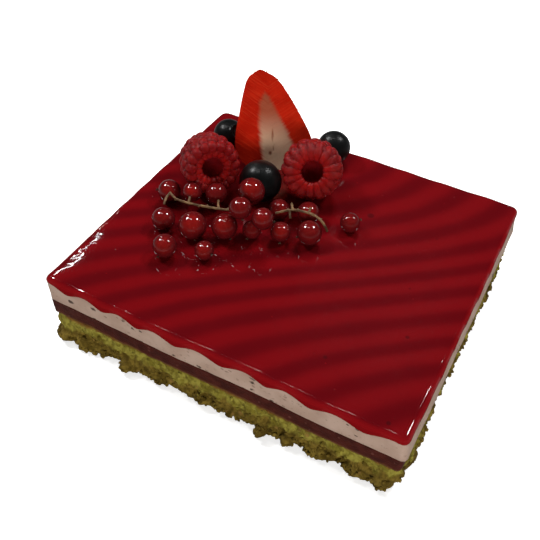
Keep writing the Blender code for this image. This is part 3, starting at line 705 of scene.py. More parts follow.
color = blend_colors(tree, maths(tree, "MULTIPLY", specks(tree, where, 360, 0.3, 0.18), 0.6), color,
                     (0.30, 0.17, 0.045))
soaked = smooth_range(tree, attribute(tree, "low"), 0.02, 0.11, 0.8, 0.0)
color = blend_colors(tree, soaked, color, (0.19, 0.070, 0.018))
tree.links.new(color, shader.inputs["Base Color"])
bump(tree, shader, maths(tree, "ADD", noise_height(tree, where, 1500, 4.0), ribs), 0.0004)
print("sponge finish:", len(tree.nodes), "nodes")

# %% Short calls for Geometry Nodes


def start_tree(name, inputs):
    """A geometry node tree with a geometry input and these named values."""
    tree = bpy.data.node_groups.new(name, "GeometryNodeTree")
    for way in ("INPUT", "OUTPUT"):
        tree.interface.new_socket("Geometry", in_out=way, socket_type="NodeSocketGeometry")
    for label, kind, value in inputs:
        tree.interface.new_socket(label, in_out="INPUT", socket_type=kind).default_value = value
    return tree, add_node(tree, "NodeGroupInput").outputs


def end_tree(tree, geometry, material):
    """Ends a tree with Realize Instances and Set Material."""
    real = add_node(tree, "GeometryNodeRealizeInstances", {0: geometry})
    painted = add_node(tree, "GeometryNodeSetMaterial", {0: real.outputs[0], "Material": material})
    add_node(tree, "NodeGroupOutput", {0: painted.outputs[0]})


def grown(name, base, tree, values):
    """The plain mesh that the tree makes from a base mesh, with its inputs set by identifier."""
    helper = bpy.data.objects.new(name, base)
    bpy.context.scene.collection.objects.link(helper)
    modifier = helper.modifiers.new("grow", "NODES")
    modifier.node_group = tree
    for item in tree.interface.items_tree:
        if item.in_out == "INPUT" and item.name in values:
            modifier[item.identifier] = values[item.name]
    mesh = bpy.data.meshes.new_from_object(helper.evaluated_get(bpy.context.evaluated_depsgraph_get()))
    helper.modifiers.remove(modifier)
    bpy.data.objects.remove(helper)
    mesh.name = name
    return mesh


def random_value(tree, low, high, seed, kind="FLOAT"):
    node = add_node(tree, "FunctionNodeRandomValue", data_type=kind)
    at = 0 if kind == "FLOAT_VECTOR" else 2
    node.inputs[at].default_value, node.inputs[at + 1].default_value = low, high
    node.inputs["Seed"].default_value = seed
    return node.outputs[0 if kind == "FLOAT_VECTOR" else 1]


def stored(tree, name, kind="FLOAT_VECTOR"):
    """A value that the base mesh carries at its points."""
    return add_node(tree, "GeometryNodeInputNamedAttribute", {"Name": name}, data_type=kind).outputs[0]


def with_value(tree, geometry, name, value, kind="FLOAT_VECTOR", domain="POINT"):
    """The geometry with this value stored under this name, for its material to read."""
    return add_node(tree, "GeometryNodeStoreNamedAttribute", {0: geometry, "Name": name, "Value": value},
                    data_type=kind, domain=domain).outputs[0]


def roughened(tree, geometry, scale, detail, distance):
    """The geometry with its points pushed about by noise."""
    color = noise_color(tree, add_node(tree, "GeometryNodeInputPosition").outputs[0], scale, detail)
    centred = add_node(tree, "ShaderNodeVectorMath", {0: color, 1: (0.5, 0.5, 0.5)}, operation="SUBTRACT")
    shove = scaled_vector(tree, centred.outputs[0], distance)
    return add_node(tree, "GeometryNodeSetPosition", {0: geometry, "Offset": shove}).outputs[0]


print("Geometry Nodes helpers are ready")

# %% Crumbs by Geometry Nodes
PER_SQUARE_CM = 10000.0
tree, given = start_tree("scatter crumbs", [("Crumbs per square cm", "NodeSocketFloat", 20.0),
                                            ("Crumb radius", "NodeSocketFloat", 0.8 * MM)])
low_part = stored(tree, "low", "FLOAT")
rather_low = add_node(tree, "ShaderNodeMapRange", {0: low_part, 1: 0.15, 2: 0.75, 3: 0.0, 4: 1.0}).outputs[0]
most = maths(tree, "MULTIPLY", given["Crumbs per square cm"], PER_SQUARE_CM)
density = maths(tree, "MULTIPLY", most, rather_low)
spots = add_node(tree, "GeometryNodeDistributePointsOnFaces", {"Mesh": given["Geometry"], "Density": density,
                                                               "Seed": 4})
ball = add_node(tree, "GeometryNodeMeshIcoSphere", {"Radius": given["Crumb radius"], "Subdivisions": 3})
crumbs = add_node(tree, "GeometryNodeInstanceOnPoints", {
    "Points": spots.outputs["Points"], "Instance": ball.outputs[0],
    "Rotation": random_value(tree, (0, 0, 0), (6.3, 6.3, 6.3), 2, "FLOAT_VECTOR"),
    "Scale": random_value(tree, (0.35, 0.35, 0.35), (1.25, 1.0, 1.1), 3, "FLOAT_VECTOR")}).outputs[0]
real = add_node(tree, "GeometryNodeRealizeInstances", {0: crumbs}).outputs[0]
end_tree(tree, roughened(tree, real, 1000.0, 2.0, 0.8 * MM), sponge)
print("crumb tree:", len(tree.nodes), "nodes")

# %% Join the crumbs to the sponge
crumb_mesh = grown("crumbs", sponge_mesh, tree, {"Crumbs per square cm": 18.0, "Crumb radius": 0.95 * MM})
joined = bmesh.new()
joined.from_mesh(sponge_mesh)
joined.from_mesh(crumb_mesh)
LIMITS = (CAD_LOW + Vector((0.1, 0.1, 0.0)) * MM, CAD_HIGH - Vector((0.1, 0.1, 0.0)) * MM)
for vert in joined.verts:
    for axis in range(3):
        vert.co[axis] = min(max(vert.co[axis], LIMITS[0][axis]), LIMITS[1][axis])
joined.to_mesh(sponge_mesh)
joined.free()
sponge_mesh.shade_smooth()
add_piece("sponge", sponge_mesh, sponge, "pistachio_sponge", "pistachio_sponge")

# %% [markdown]
# ## Strawberry half
# The cut face looks forwards: orange-red flesh with fine pale rays, and a pale core that widens to the base
# and has two small brown hollows. The skin behind is round and set with seeds. The mesh is made in the
# fruit's own position, foot at the origin and tip up, then leaned, turned and set on the glaze.

# %% Sizes of the strawberry
STRAWBERRY_FOOT = Vector((-25.0, 33.0)) * MM
STRAWBERRY_HEIGHT, STRAWBERRY_WIDTH, STRAWBERRY_THICKNESS = 40.5 * MM, 31.2 * MM, 12.5 * MM
STRAWBERRY_TURN, STRAWBERRY_LEAN = math.radians(28), math.radians(18)
STRAWBERRY_TIP_SHIFT = -6.6 * MM
# Share of the height and of the full width, then the two edges of the pale core, as height and place in mm.
FULLNESS = [(0.0, 0.58), (0.04, 0.74), (0.1, 0.89), (0.2, 1.0), (0.36, 0.95), (0.55, 0.78), (0.77, 0.55),
            (0.92, 0.33), (1.0, 0.0)]
CORE_LEFT = [(0, -5.2), (6, -5.7), (11, -6.4), (21, -7.1), (28, -6.6), (32, -4.6), (41, -1.0)]
CORE_RIGHT = [(0, 8.6), (6, 7.6), (12, 6.4), (15, 5.0), (20, 2.5), (25.6, -0.5), (30, -3.0), (32, -4.9),
              (41, -8.5)]
# The brown hollows: place across and up, half width and half height, in mm.
HOLLOWS = ((-1.6, 14.6, 0.55, 4.2), (-2.5, 7.0, 1.0, 1.3), (-1.1, 9.6, 0.35, 2.2))
SEED_ROWS, SEEDS_PER_ROW = 13, 11


def smooth_value(keys, where):
    """A smooth curve through (position, value) keys, read at one position."""
    last = len(keys) - 1
    i = 0
    while i < last - 1 and where > keys[i + 1][0]:
        i += 1
    (x0, y0), (x1, y1) = keys[i], keys[i + 1]
    before, after = keys[max(i - 1, 0)], keys[min(i + 2, last)]
    slope0 = (y1 - before[1]) / (x1 - before[0])
    slope1 = (after[1] - y0) / (after[0] - x0)
    t = min(1.0, (where - x0) / (x1 - x0))
    bend = (x1 - x0) * (slope0 * t * (1 - t) ** 2 - slope1 * t * t * (1 - t))
    return y0 + (y1 - y0) * t * t * (3 - 2 * t) + bend


def strawberry_point(share, angle):
    """A point of the skin: share from foot to tip, angle round the back from right to left."""
    fullness = smooth_value(FULLNESS, min(share, 1.0))
    middle_x = STRAWBERRY_TIP_SHIFT * share ** 1.5
    return Vector((middle_x + STRAWBERRY_WIDTH / 2 * fullness * math.cos(angle),
                   STRAWBERRY_THICKNESS * fullness * math.sin(angle), share * STRAWBERRY_HEIGHT))


print("the strawberry is", round(STRAWBERRY_HEIGHT / MM, 1), "mm tall")

# %% Places of the seeds
seed_places = []
for row in range(SEED_ROWS):
    for k in range(SEEDS_PER_ROW):
        share = 0.10 + 0.86 * row / (SEED_ROWS - 1)
        angle = math.pi * (k + (0.25 if row % 2 else 0.75)) / SEEDS_PER_ROW
        if smooth_value(FULLNESS, share) * math.pi * STRAWBERRY_WIDTH / SEEDS_PER_ROW > 2.2 * MM or k % 2:
            seed_places.append((share, angle))
seed_points = [strawberry_point(*place) for place in seed_places]
print("seeds on the skin:", len(seed_places))

# %% Strawberry mesh
FACE_COLUMNS, SKIN_COLUMNS, FACE_ROWS = 60, 72, 90
verts, core_values, skin_values, hollow_values, faces = [], [], [], [], []
for row in range(FACE_ROWS + 1):
    share = 0.992 * (row / FACE_ROWS) ** 0.92
    left, right_edge = strawberry_point(share, math.pi), strawberry_point(share, 0.0)
    level_mm = share * STRAWBERRY_HEIGHT / MM
    core_from, core_to = smooth_value(CORE_LEFT, level_mm), smooth_value(CORE_RIGHT, level_mm)
    for k in range(FACE_COLUMNS):
        point = left.lerp(right_edge, k / FACE_COLUMNS)
        x = point.x / MM
        inside = min(x - core_from, core_to - x)
        hollow = 0.0
        for hx, hz, wide, tall in HOLLOWS:
            hollow = max(hollow, 1 - math.hypot((x - hx) / wide, (level_mm - hz) / tall))
        point.y += 0.25 * MM * min(1.0, max(0.0, inside)) + 0.5 * MM * hollow
        verts.append(point)
        core_values.append(inside)
        hollow_values.append(hollow)
        skin_values.append(0.0)
    for k in range(SKIN_COLUMNS):
        angle = math.pi * k / SKIN_COLUMNS
        point = strawberry_point(share, angle)
        near = min((point - seed).length for seed in seed_points)
        dent = 0.45 * MM * max(0.0, 1 - near / (1.5 * MM)) * math.sin(angle) ** 0.5
        verts.append(point - Vector((math.cos(angle), math.sin(angle), 0)) * dent)
        core_values.append(-9.0)
        hollow_values.append(0.0)
        skin_values.append(1.0 if k else 0.5)
around = FACE_COLUMNS + SKIN_COLUMNS
for row in range(FACE_ROWS):
    for k in range(around):
        a, b = row * around + k, row * around + (k + 1) % around
        faces.append([a, b, b + around, a + around])
faces.append(list(reversed(range(around))))
faces.append([FACE_ROWS * around + k for k in range(around)])
strawberry_mesh = bpy.data.meshes.new("strawberry")
strawberry_mesh.from_pydata([tuple(v) for v in verts], [], faces)
for label, numbers in (("core", core_values), ("hollow", hollow_values), ("skin", skin_values)):
    strawberry_mesh.attributes.new(label, "FLOAT", "POINT").data.foreach_set("value", numbers)
strawberry_mesh.shade_smooth()
strawberry_mesh.set_sharp_from_angle(angle=math.radians(50))
print("strawberry mesh:", len(verts), "points")

# %% Stand the strawberry on the glaze
FOOT_PLACE = Vector((STRAWBERRY_FOOT.x + SHIFT[0], STRAWBERRY_FOOT.y + SHIFT[1], GLAZE_TOP))
STAND = Matrix.Translation(FOOT_PLACE) @ Matrix.Rotation(STRAWBERRY_TURN, 4, "Z")
STAND = STAND @ Matrix.Rotation(-STRAWBERRY_LEAN, 4, "X")
strawberry_mesh.transform(STAND)
cut = bmesh.new()
cut.from_mesh(strawberry_mesh)
bmesh.ops.bisect_plane(cut, geom=cut.verts[:] + cut.edges[:] + cut.faces[:], dist=1e-6,
                       plane_co=(0, 0, GLAZE_TOP - 0.1 * MM), plane_no=(0, 0, 1), clear_inner=True)
bmesh.ops.holes_fill(cut, edges=[edge for edge in cut.edges if edge.is_boundary])
bmesh.ops.recalc_face_normals(cut, faces=cut.faces)
cut.to_mesh(strawberry_mesh)
cut.free()
print("after the cut at the glaze:", len(strawberry_mesh.vertices), "points")

# %% Strawberry finish
flesh, tree, shader, where = start_finish("cut_strawberry", Roughness=0.5, Specular_IOR_Level=0.03)
own = add_node(tree, "ShaderNodeMapping", {
    "Vector": where, "Location": STAND.translation,
    "Rotation": (-STRAWBERRY_LEAN, 0, STRAWBERRY_TURN)}, vector_type="TEXTURE").outputs[0]
across, _, along = add_node(tree, "ShaderNodeSeparateXYZ", {0: own}).outputs
off_middle = maths(tree, "ABSOLUTE", maths(tree, "ADD", across, 3.5 * MM))
ray_level = maths(tree, "SUBTRACT", along, maths(tree, "MULTIPLY", off_middle, 0.7))
ray_place = add_node(tree, "ShaderNodeCombineXYZ", {0: maths(tree, "MULTIPLY", across, 90.0), 1: 0.0,
                                                    2: maths(tree, "MULTIPLY", ray_level, 1500.0)}).outputs[0]
rays = smooth_range(tree, noise_height(tree, ray_place, 1.0, 1.0), 0.45, 0.75)
red = mottled(tree, where, 160, (0.47, 0.011, 0.003), (0.58, 0.018, 0.005))["Color"]
red = blend_colors(tree, maths(tree, "MULTIPLY", rays, 0.25), red, (0.80, 0.070, 0.022))
# The lower right of the flesh is painted a lighter red: painted light that offsets the shade the right
# raspberry casts there.
on_right = smooth_range(tree, across, 0.001, 0.012)
painted_light_lower_right = maths(tree, "MULTIPLY", on_right, smooth_range(tree, along, 0.008, 0.030, 1.0, 0.0))
red = blend_colors(tree, painted_light_lower_right, red, (0.90, 0.045, 0.012))
core = attribute(tree, "core")
fringe = maths(tree, "MULTIPLY", maths(tree, "SUBTRACT", noise_height(tree, ray_place, 0.6), 0.5), 2.2)
in_core = smooth_range(tree, maths(tree, "ADD", core, fringe), -0.9, 1.6)
# The core is cream at its base and pinkish red higher up; the cream is pushed close to white as painted light
# that offsets the shade of the raspberry and blueberry.
pale = blend_colors(tree, smooth_range(tree, along, 0.002, 0.026), (1.0, 0.80, 0.53), (0.36, 0.055, 0.021))
streaks = maths(tree, "MULTIPLY", noise_height(tree, ray_place, 0.35), 0.4)
pale = blend_colors(tree, streaks, pale, (0.56, 0.21, 0.12))
color = blend_colors(tree, in_core, red, pale)
hollow = smooth_range(tree, attribute(tree, "hollow"), 0.0, 0.8)
color = blend_colors(tree, maths(tree, "MULTIPLY", hollow, 0.8), color, (0.30, 0.085, 0.035))
skin = attribute(tree, "skin")
color = blend_colors(tree, smooth_range(tree, skin, 0.3, 0.8), color, (0.27, 0.008, 0.004))
tree.links.new(color, shader.inputs["Base Color"])
bump(tree, shader, maths(tree, "ADD", noise_height(tree, where, 1100, 2.0), rays), 0.00012)
add_piece("strawberry", strawberry_mesh, flesh, "strawberry_flesh", "strawberry_half")

# %% Strawberry seeds by Geometry Nodes
achene, tree, shader, where = start_finish("strawberry_seed", Roughness=0.45)
seed_color = mottled(tree, where, 900, (0.26, 0.12, 0.03), (0.45, 0.27, 0.08))["Color"]
tree.links.new(seed_color, shader.inputs["Base Color"])

tree, given = start_tree("seeds on points", [("Seed length", "NodeSocketFloat", 0.75 * MM)])
seed_ball = add_node(tree, "GeometryNodeMeshUVSphere", {"Segments": 10, "Rings": 7,
                                                        "Radius": given["Seed length"]})
oval = add_node(tree, "GeometryNodeTransform", {0: seed_ball.outputs[0], "Scale": (0.55, 0.35, 1.0)})
seeds_out = add_node(tree, "GeometryNodeInstanceOnPoints", {
    "Points": given["Geometry"], "Instance": oval.outputs[0], "Rotation": stored(tree, "turn")}).outputs[0]
end_tree(tree, seeds_out, achene)

bedding = bpy.data.meshes.new("seed places")
lean_turn = STAND.to_3x3().to_4x4()
kept, turned = [], []
# A seed lies a little under the skin, and only those clear of the glaze are kept.
for (share, angle), point in zip(seed_places, seed_points):
    spot = STAND @ (point - Vector((math.cos(angle), math.sin(angle), 0)) * 0.33 * MM)
    if spot.z > GLAZE_TOP + 0.5 * MM:
        kept.append(spot)
        turned.extend((lean_turn @ Matrix.Rotation(angle - math.pi / 2, 4, "Z")).to_euler())
bedding.from_pydata([tuple(spot) for spot in kept], [], [])
bedding.attributes.new("turn", "FLOAT_VECTOR", "POINT").data.foreach_set("vector", turned)
add_piece("strawberry_seeds", grown("strawberry_seeds", bedding, tree, {"Seed length": 0.72 * MM}), achene,
          "strawberry_flesh")

# %% [markdown]
# ## Raspberries
# A raspberry is a hollow cup of drupelets, small juicy beads in staggered rows. Near the open end they are
# long and lie over the rim; towards the tip they are round and smaller. A lathe-turned cup carries the
# beads, and Geometry Nodes set one on every place that the rule gives.

# %% Sizes of the raspberries
RASPBERRY_LENGTH, RASPBERRY_RADIUS = 20 * MM, 11.4 * MM
RASPBERRY_OUTLINE = [(0.0, 0.72), (0.06, 0.88), (0.2, 0.99), (0.4, 1.0), (0.6, 0.91), (0.78, 0.7),
                     (0.92, 0.42), (1.0, 0.17)]
RASPBERRY_RIM = RASPBERRY_LENGTH * 0.45
# The hollow, from its deepest point out to the rim: radius and depth below the rim, in mm.
HOLLOW_PROFILE = ((0, 12), (2.4, 11.5), (3.7, 7), (4.5, 3.2), (5.3, 1.7), (6.3, 1.0), (7.6, 0.7))
# Rows of beads: place along the berry, number, half width and half length in mm.
BEAD_ROWS = [(0.23, 16, 2.4, 2.8), (0.42, 15, 2.45, 2.6), (0.59, 13, 2.4, 2.5),
             (0.75, 10, 2.3, 2.35), (0.88, 7, 2.1, 2.1), (0.97, 3, 1.8, 1.8)]
RIM_BEADS = 17
BEAD_SINK = 1.85 * MM
CUP_ROWS, CUP_UNDER_SKIN = 12, 0.55 * MM
print("bead rows:", [row[1] for row in BEAD_ROWS])

# %% Turned shapes, and where they stand


def pointing(turn_degrees, rise_degrees):
    """A direction: turned from the front (-Y) towards +X, then raised."""
    turn, rise = math.radians(turn_degrees), math.radians(rise_degrees)
    return Vector((math.sin(turn) * math.cos(rise), -math.cos(turn) * math.cos(rise), math.sin(rise)))


def lathe_mesh(name, profile, around, wave=None):
    """A closed turned mesh; the profile of (radius, height) starts and ends on the axis."""
    verts, faces = [(0.0, 0.0, profile[0][1])], []
    for row, (radius, height) in enumerate(profile[1:-1], start=1):
        for k in range(around):
            angle = 2 * math.pi * k / around
            dr, dz = wave(row, angle) if wave else (0.0, 0.0)
            verts.append(((radius + dr) * math.cos(angle), (radius + dr) * math.sin(angle), height + dz))
    verts.append((0.0, 0.0, profile[-1][1]))
    bands, top_vert = len(profile) - 3, len(verts) - 1
    for k in range(around):
        after = (k + 1) % around
        faces.append([0, 1 + after, 1 + k])
        for row in range(bands):
            low = 1 + row * around
            faces.append([low + k, low + after, low + around + after, low + around + k])
        faces.append([1 + bands * around + k, 1 + bands * around + after, top_vert])
    mesh = bpy.data.meshes.new(name)
    mesh.from_pydata(verts, [], faces)
    shape = bmesh.new()
    shape.from_mesh(mesh)
    bmesh.ops.recalc_face_normals(shape, faces=shape.faces)
    shape.to_mesh(mesh)
    shape.free()
    mesh.shade_smooth()
    return mesh


RESTS_WITHIN = 0.6 * MM


def set_in_box(mesh, node, direction):
    """Turns a mesh so that its +Z follows the direction, and puts it where a CAD node lies."""
    mesh.transform(direction.to_track_quat("Z", "Y").to_matrix().to_4x4())
    points = np.array([v.co for v in mesh.vertices])
    low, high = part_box(node)
    offset = Vector((low + high) / 2) - Vector((points.min(0) + points.max(0)) / 2)
    offset.z = low.z - points[:, 2].min()
    if low.z - GLAZE_TOP < RESTS_WITHIN:
        offset.z -= low.z - GLAZE_TOP
    mesh.transform(Matrix.Translation(offset))
    return mesh


print("helpers for turned shapes are ready")

# %% Drupelets by Geometry Nodes
tree, given = start_tree("drupelets on points", [("Bead radius", "NodeSocketFloat", 1.0)])
bead = add_node(tree, "GeometryNodeMeshUVSphere", {"Segments": 18, "Rings": 12,
                                                   "Radius": given["Bead radius"]}).outputs[0]
bead = with_value(tree, bead, "on_bead", add_node(tree, "GeometryNodeInputPosition").outputs[0])
beads = add_node(tree, "GeometryNodeInstanceOnPoints", {
    "Points": given["Geometry"], "Instance": bead, "Rotation": stored(tree, "turn"),
    "Scale": stored(tree, "size")}).outputs[0]
beads = with_value(tree, beads, "ripeness", random_value(tree, 0.0, 1.0, 7), "FLOAT", "INSTANCE")
drupelet_tree = tree
print("drupelet tree:", len(tree.nodes), "nodes")

# %% Raspberry finish
raspberry, tree, shader, where = start_finish("ripe_raspberry", Roughness=0.42, Specular_IOR_Level=0.15,
                                              Subsurface_Weight=0.6, Subsurface_Scale=0.0018)
ripe = attribute(tree, "ripeness")
red = blend_colors(tree, ripe, (0.185, 0.0058, 0.0063), (0.27, 0.0098, 0.0095))
red = blend_colors(tree, mottled(tree, where, 500, (0, 0, 0), (1, 1, 1))["Mask"], red, (0.18, 0.0045, 0.0055))
outer = add_node(tree, "ShaderNodeAttribute", attribute_name="on_bead").outputs["Vector"]
crown = add_node(tree, "ShaderNodeSeparateXYZ", {0: outer}).outputs[2]
# Each bead is painted darker towards its base: painted shade in the creases between beads.
red = blend_colors(tree, smooth_range(tree, crown, 0.0, 0.6, 0.3, 0.0), red, (0.14, 0.0035, 0.005))
# The top of each bead is painted a little paler: partly its fine hairs, partly a painted highlight.
hairs_and_painted_highlight = maths(tree, "MULTIPLY", smooth_range(tree, crown, 0.8, 1.0), 0.07)
red = blend_colors(tree, hairs_and_painted_highlight, red, (0.50, 0.10, 0.09))
# Near the lip the berry is painted a brighter red: painted light glowing through the thin flesh there.
painted_glow_at_lip = smooth_range(tree, attribute(tree, "lip"), 0.2, 1.0, 0.0, 0.35)
red = blend_colors(tree, painted_glow_at_lip, red, (0.42, 0.008, 0.006))
# Inside the hollow the berry is painted one deeper red: painted shade in the hollow.
red = blend_colors(tree, attribute(tree, "inner"), red, (0.19, 0.0055, 0.008))
tree.links.new(red, shader.inputs["Base Color"])
bump(tree, shader, noise_height(tree, where, 1400, 2.0), 0.0002)
end_tree(drupelet_tree, beads, raspberry)
print("raspberry finish:", len(tree.nodes), "nodes")

# %% Cup and beads of a raspberry


def cup_mesh(size):
    """The thin cup that carries the beads, with the hollow inside."""
    profile = [(radius * MM, RASPBERRY_RIM - deep * MM) for radius, deep in HOLLOW_PROFILE]
    for k in range(CUP_ROWS + 1):
        share = 0.05 + 0.9 * k / CUP_ROWS
        radius = RASPBERRY_RADIUS * smooth_value(RASPBERRY_OUTLINE, share) - CUP_UNDER_SKIN
        profile.append((radius, RASPBERRY_RIM - RASPBERRY_LENGTH * share))
    profile.append((0.0, RASPBERRY_RIM - 0.97 * RASPBERRY_LENGTH))
    return lathe_mesh("cup", [(r * size, h * size) for r, h in profile], 40)


def skin_at(share):
    """The berry's radius at a share of its length, the way out of its skin, and a turn that follows it."""
    radius = RASPBERRY_RADIUS * smooth_value(RASPBERRY_OUTLINE, share)
    nearby = RASPBERRY_RADIUS * smooth_value(RASPBERRY_OUTLINE, min(1.0, share + 0.03))
    slope = math.atan2(nearby - radius, -0.03 * RASPBERRY_LENGTH)
    normal = Vector((math.sin(slope + math.pi / 2), 0, -math.cos(slope + math.pi / 2)))
    if normal.x < 0:
        normal = -normal
    along_skin = Vector((-normal.z, 0, normal.x))
    return radius, normal, Matrix((along_skin.cross(normal) * -1, along_skin, normal)).transposed()


def skin_beads(rng, bead_rows, size):
    """The place, turn and size of every bead in the rows on the skin."""
    beads = []
    for row, (share, count, wide, long) in enumerate(bead_rows):
        for k in range(count):
            angle = 2 * math.pi * (k + (row % 2) / 2 + rng.uniform(-0.12, 0.12)) / count
            here = share + rng.uniform(-0.012, 0.012)
            radius, normal, basis = skin_at(here)
            spin = Matrix.Rotation(angle, 3, "Z")
            on_skin = Vector((radius, 0, RASPBERRY_RIM - RASPBERRY_LENGTH * here))
            spot = spin @ (on_skin - normal * BEAD_SINK)
            grow = rng.uniform(0.93, 1.07) * size * MM
            beads.append((spot * size, (spin @ basis).to_euler(), (wide * grow, long * grow, 2.05 * grow)))
    return beads


def rim_beads(rng, rim_bead, size):
    """The same for the long beads over the rim; rim_bead is their place, drop, tilt and half length."""
    place, drop, tilt, reach = rim_bead
    beads = []
    for k in range(RIM_BEADS):
        spin = Matrix.Rotation(2 * math.pi * (k + 0.5 + rng.uniform(-0.12, 0.12)) / RIM_BEADS, 3, "Z")
        spot = spin @ Vector((place, 0, RASPBERRY_RIM / MM - drop + rng.uniform(-0.15, 0.15))) * MM * size
        dipped = spin @ Matrix.Rotation(math.radians(tilt), 3, "Y")
        turn = (dipped @ Matrix.Rotation(math.pi / 2, 3, "Z")).to_euler()
        long = reach * rng.uniform(0.94, 1.05) * size * MM
        beads.append((spot, turn, (2.35 * size * MM, long, 2.1 * size * MM)))
    return beads


print("raspberry helpers are ready")

# %% Build both raspberries


def build_raspberry(name, node, size, facing, seed, bead_rows, rim_bead):
    """A hollow berry that is open towards the facing direction."""
    rng = random.Random(seed)
    cup = cup_mesh(size)
    beads = skin_beads(rng, bead_rows, size)
    beads += rim_beads(rng, rim_bead, size)
    points = bpy.data.meshes.new("bead places")
    points.from_pydata([tuple(spot) for spot, _, _ in beads], [], [])
    for label, column in (("turn", 1), ("size", 2)):
        values = [value for bead in beads for value in bead[column]]
        points.attributes.new(label, "FLOAT_VECTOR", "POINT").data.foreach_set("vector", values)
    mesh = grown(name, points, drupelet_tree, {"Bead radius": 1.0})
    whole = bmesh.new()
    whole.from_mesh(mesh)
    whole.from_mesh(cup)
    whole.to_mesh(mesh)
    whole.free()
    # Each point stores how deep inside the hollow and how near the lip it lies; the finish reads both.
    points = np.array([v.co for v in mesh.vertices]) / (size * MM)
    radius = np.hypot(points[:, 0], points[:, 1])
    inner = np.clip((5.2 - radius) / 1.4, 0, 1) * np.clip((RASPBERRY_RIM / MM - 0.4 - points[:, 2]) / 2, 0, 1)
    lip = np.clip(1 - np.abs(radius - 5.6) / 3, 0, 1) * np.clip((points[:, 2] + 2) / 6, 0, 1)
    for label, values in (("inner", inner), ("lip", lip)):
        mesh.attributes.new(label, "FLOAT", "POINT").data.foreach_set("value", values)
    mesh.shade_smooth()
    add_piece(name, set_in_box(mesh, node, pointing(*facing)), raspberry, "raspberry_red", node)


build_raspberry("left_raspberry", "raspberry_left", 0.97, (47, 15), 3, [(0.085, 17, 2.3, 2.4)] + BEAD_ROWS,
                (7.1, 1.9, 14, 3.2))
build_raspberry("right_raspberry", "raspberry_right", 1.0, (27, 27), 5, BEAD_ROWS, (7.7, 2.3, 27, 4.2))

# %% [markdown]
# ## Blueberries
# A blueberry is a slightly flattened ball with a five-pointed crown. Its blue-black skin carries a thin
# bloom of wax, greyer where nothing has rubbed it off.

# %% Blueberry finish
blueberry, tree, shader, where = start_finish("bloomed_blueberry", Roughness=0.33, Specular_IOR_Level=0.25)
bloom = mottled(tree, where, 170, (0.0020, 0.0022, 0.0023), (0.0064, 0.0069, 0.0069), 5.0)["Color"]
rubbed = maths(tree, "MULTIPLY", specks(tree, where, 900, 0.3, 0.12), 0.5)
bloom = blend_colors(tree, rubbed, bloom, (0.03, 0.03, 0.03))
tree.links.new(bloom, shader.inputs["Base Color"])
bump(tree, shader, noise_height(tree, where, 700, 3.0), 0.00012)
print("blueberry finish:", len(tree.nodes), "nodes")

# %% Blueberry meshes


def blueberry_mesh(radius):
    """A turned skin, then the five-pointed lip of the crown and the dimple inside it."""
    profile = [(0.0, -0.93 * radius)]
    for k in range(1, 24):
        angle = math.radians(-90 + 152 * k / 23)
        profile.append((radius * math.cos(angle), 0.93 * radius * math.sin(angle)))
    lip = len(profile)
    profile += [(r * radius, h * radius) for r, h in (
        (0.46, 0.90), (0.43, 0.94), (0.37, 0.935), (0.33, 0.86), (0.2, 0.80), (0.08, 0.82), (0.0, 0.84))]

    def crown_wave(row, angle):
        wave = 0.035 * radius * math.cos(5 * angle) if row in (lip + 1, lip + 2) else 0.0
        return wave * 0.8, wave
    return lathe_mesh("blueberry", profile, 60, crown_wave)


for name, diameter, crown in (("blueberry_front", 16.2, (195, -15)), ("blueberry_back_left", 13.0, (75, 40)),
                              ("blueberry_back_right", 13.4, (195, -5))):
    mesh = set_in_box(blueberry_mesh(diameter / 2 * MM), name, pointing(*crown))
    add_piece(name + "_skin", mesh, blueberry, "blueberry_skin", name)

# %% [markdown]
# ## Red currants
# Currants are clear-skinned: light enters from behind and above and glows out towards the front, fine veins
# run from pole to pole, and a dry flower end sticks out. The glow is painted by the way that the skin faces,
# because a clear skin over pulp would be slow to render and grainy, and the photo hardly shows what lies
# inside. All seventeen share one Geometry Nodes tree that sets a berry of the right size at each place.

# %% Currant finish
# Where each dry flower end points: degrees of turn from the front towards the right, and of rise.
STUBS = [(300, 10), (20, -40), (200, -30), (330, -45), (40, -50), (60, -40), (190, 10), (50, -60), (350, -35),
         (75, 10), (95, 0), (210, -20), (120, -30), (300, -25), (20, -50), (0, -30), (130, 10)]
currant, tree, shader, where = start_finish("red_currant", Roughness=0.06, Specular_IOR_Level=0.7)
GLOW_WAY = (0.30, -0.62, 0.72)
normal = add_node(tree, "ShaderNodeNewGeometry").outputs["Normal"]
facing = add_node(tree, "ShaderNodeVectorMath", {0: normal, 1: GLOW_WAY},
                  operation="DOT_PRODUCT").outputs["Value"]
glow = smooth_range(tree, facing, 0.60, 1.0)
# Where the skin faces away from that way it is painted darker: painted shade.
body = smooth_range(tree, facing, 0.05, 0.75)
tone = attribute(tree, "tone")
lit = blend_colors(tree, tone, (0.22, 0.0065, 0.005), (0.13, 0.005, 0.005))
red = blend_colors(tree, body, (0.070, 0.0040, 0.0055), (0.105, 0.0042, 0.005))
red = blend_colors(tree, glow, red, lit)
on_berry = add_node(tree, "ShaderNodeAttribute", attribute_name="on_berry").outputs["Vector"]
berry_x, berry_y, _ = add_node(tree, "ShaderNodeSeparateXYZ", {0: on_berry}).outputs
turn_round = add_node(tree, "ShaderNodeMath", {0: berry_y, 1: berry_x}, operation="ARCTAN2").outputs[0]
wave = maths(tree, "SINE", maths(tree, "MULTIPLY", turn_round, 6.0))
vein = maths(tree, "POWER", maths(tree, "ABSOLUTE", wave), 14.0)
red = blend_colors(tree, maths(tree, "MULTIPLY", vein, 0.05), red, (0.34, 0.06, 0.045))
inside = mottled(tree, on_berry, 2.2, (0, 0, 0), (1, 1, 1))["Mask"]
red = blend_colors(tree, maths(tree, "MULTIPLY", inside, 0.3), red, (0.06, 0.0035, 0.005))
tree.links.new(red, shader.inputs["Base Color"])
print("currant finish:", len(tree.nodes), "nodes")

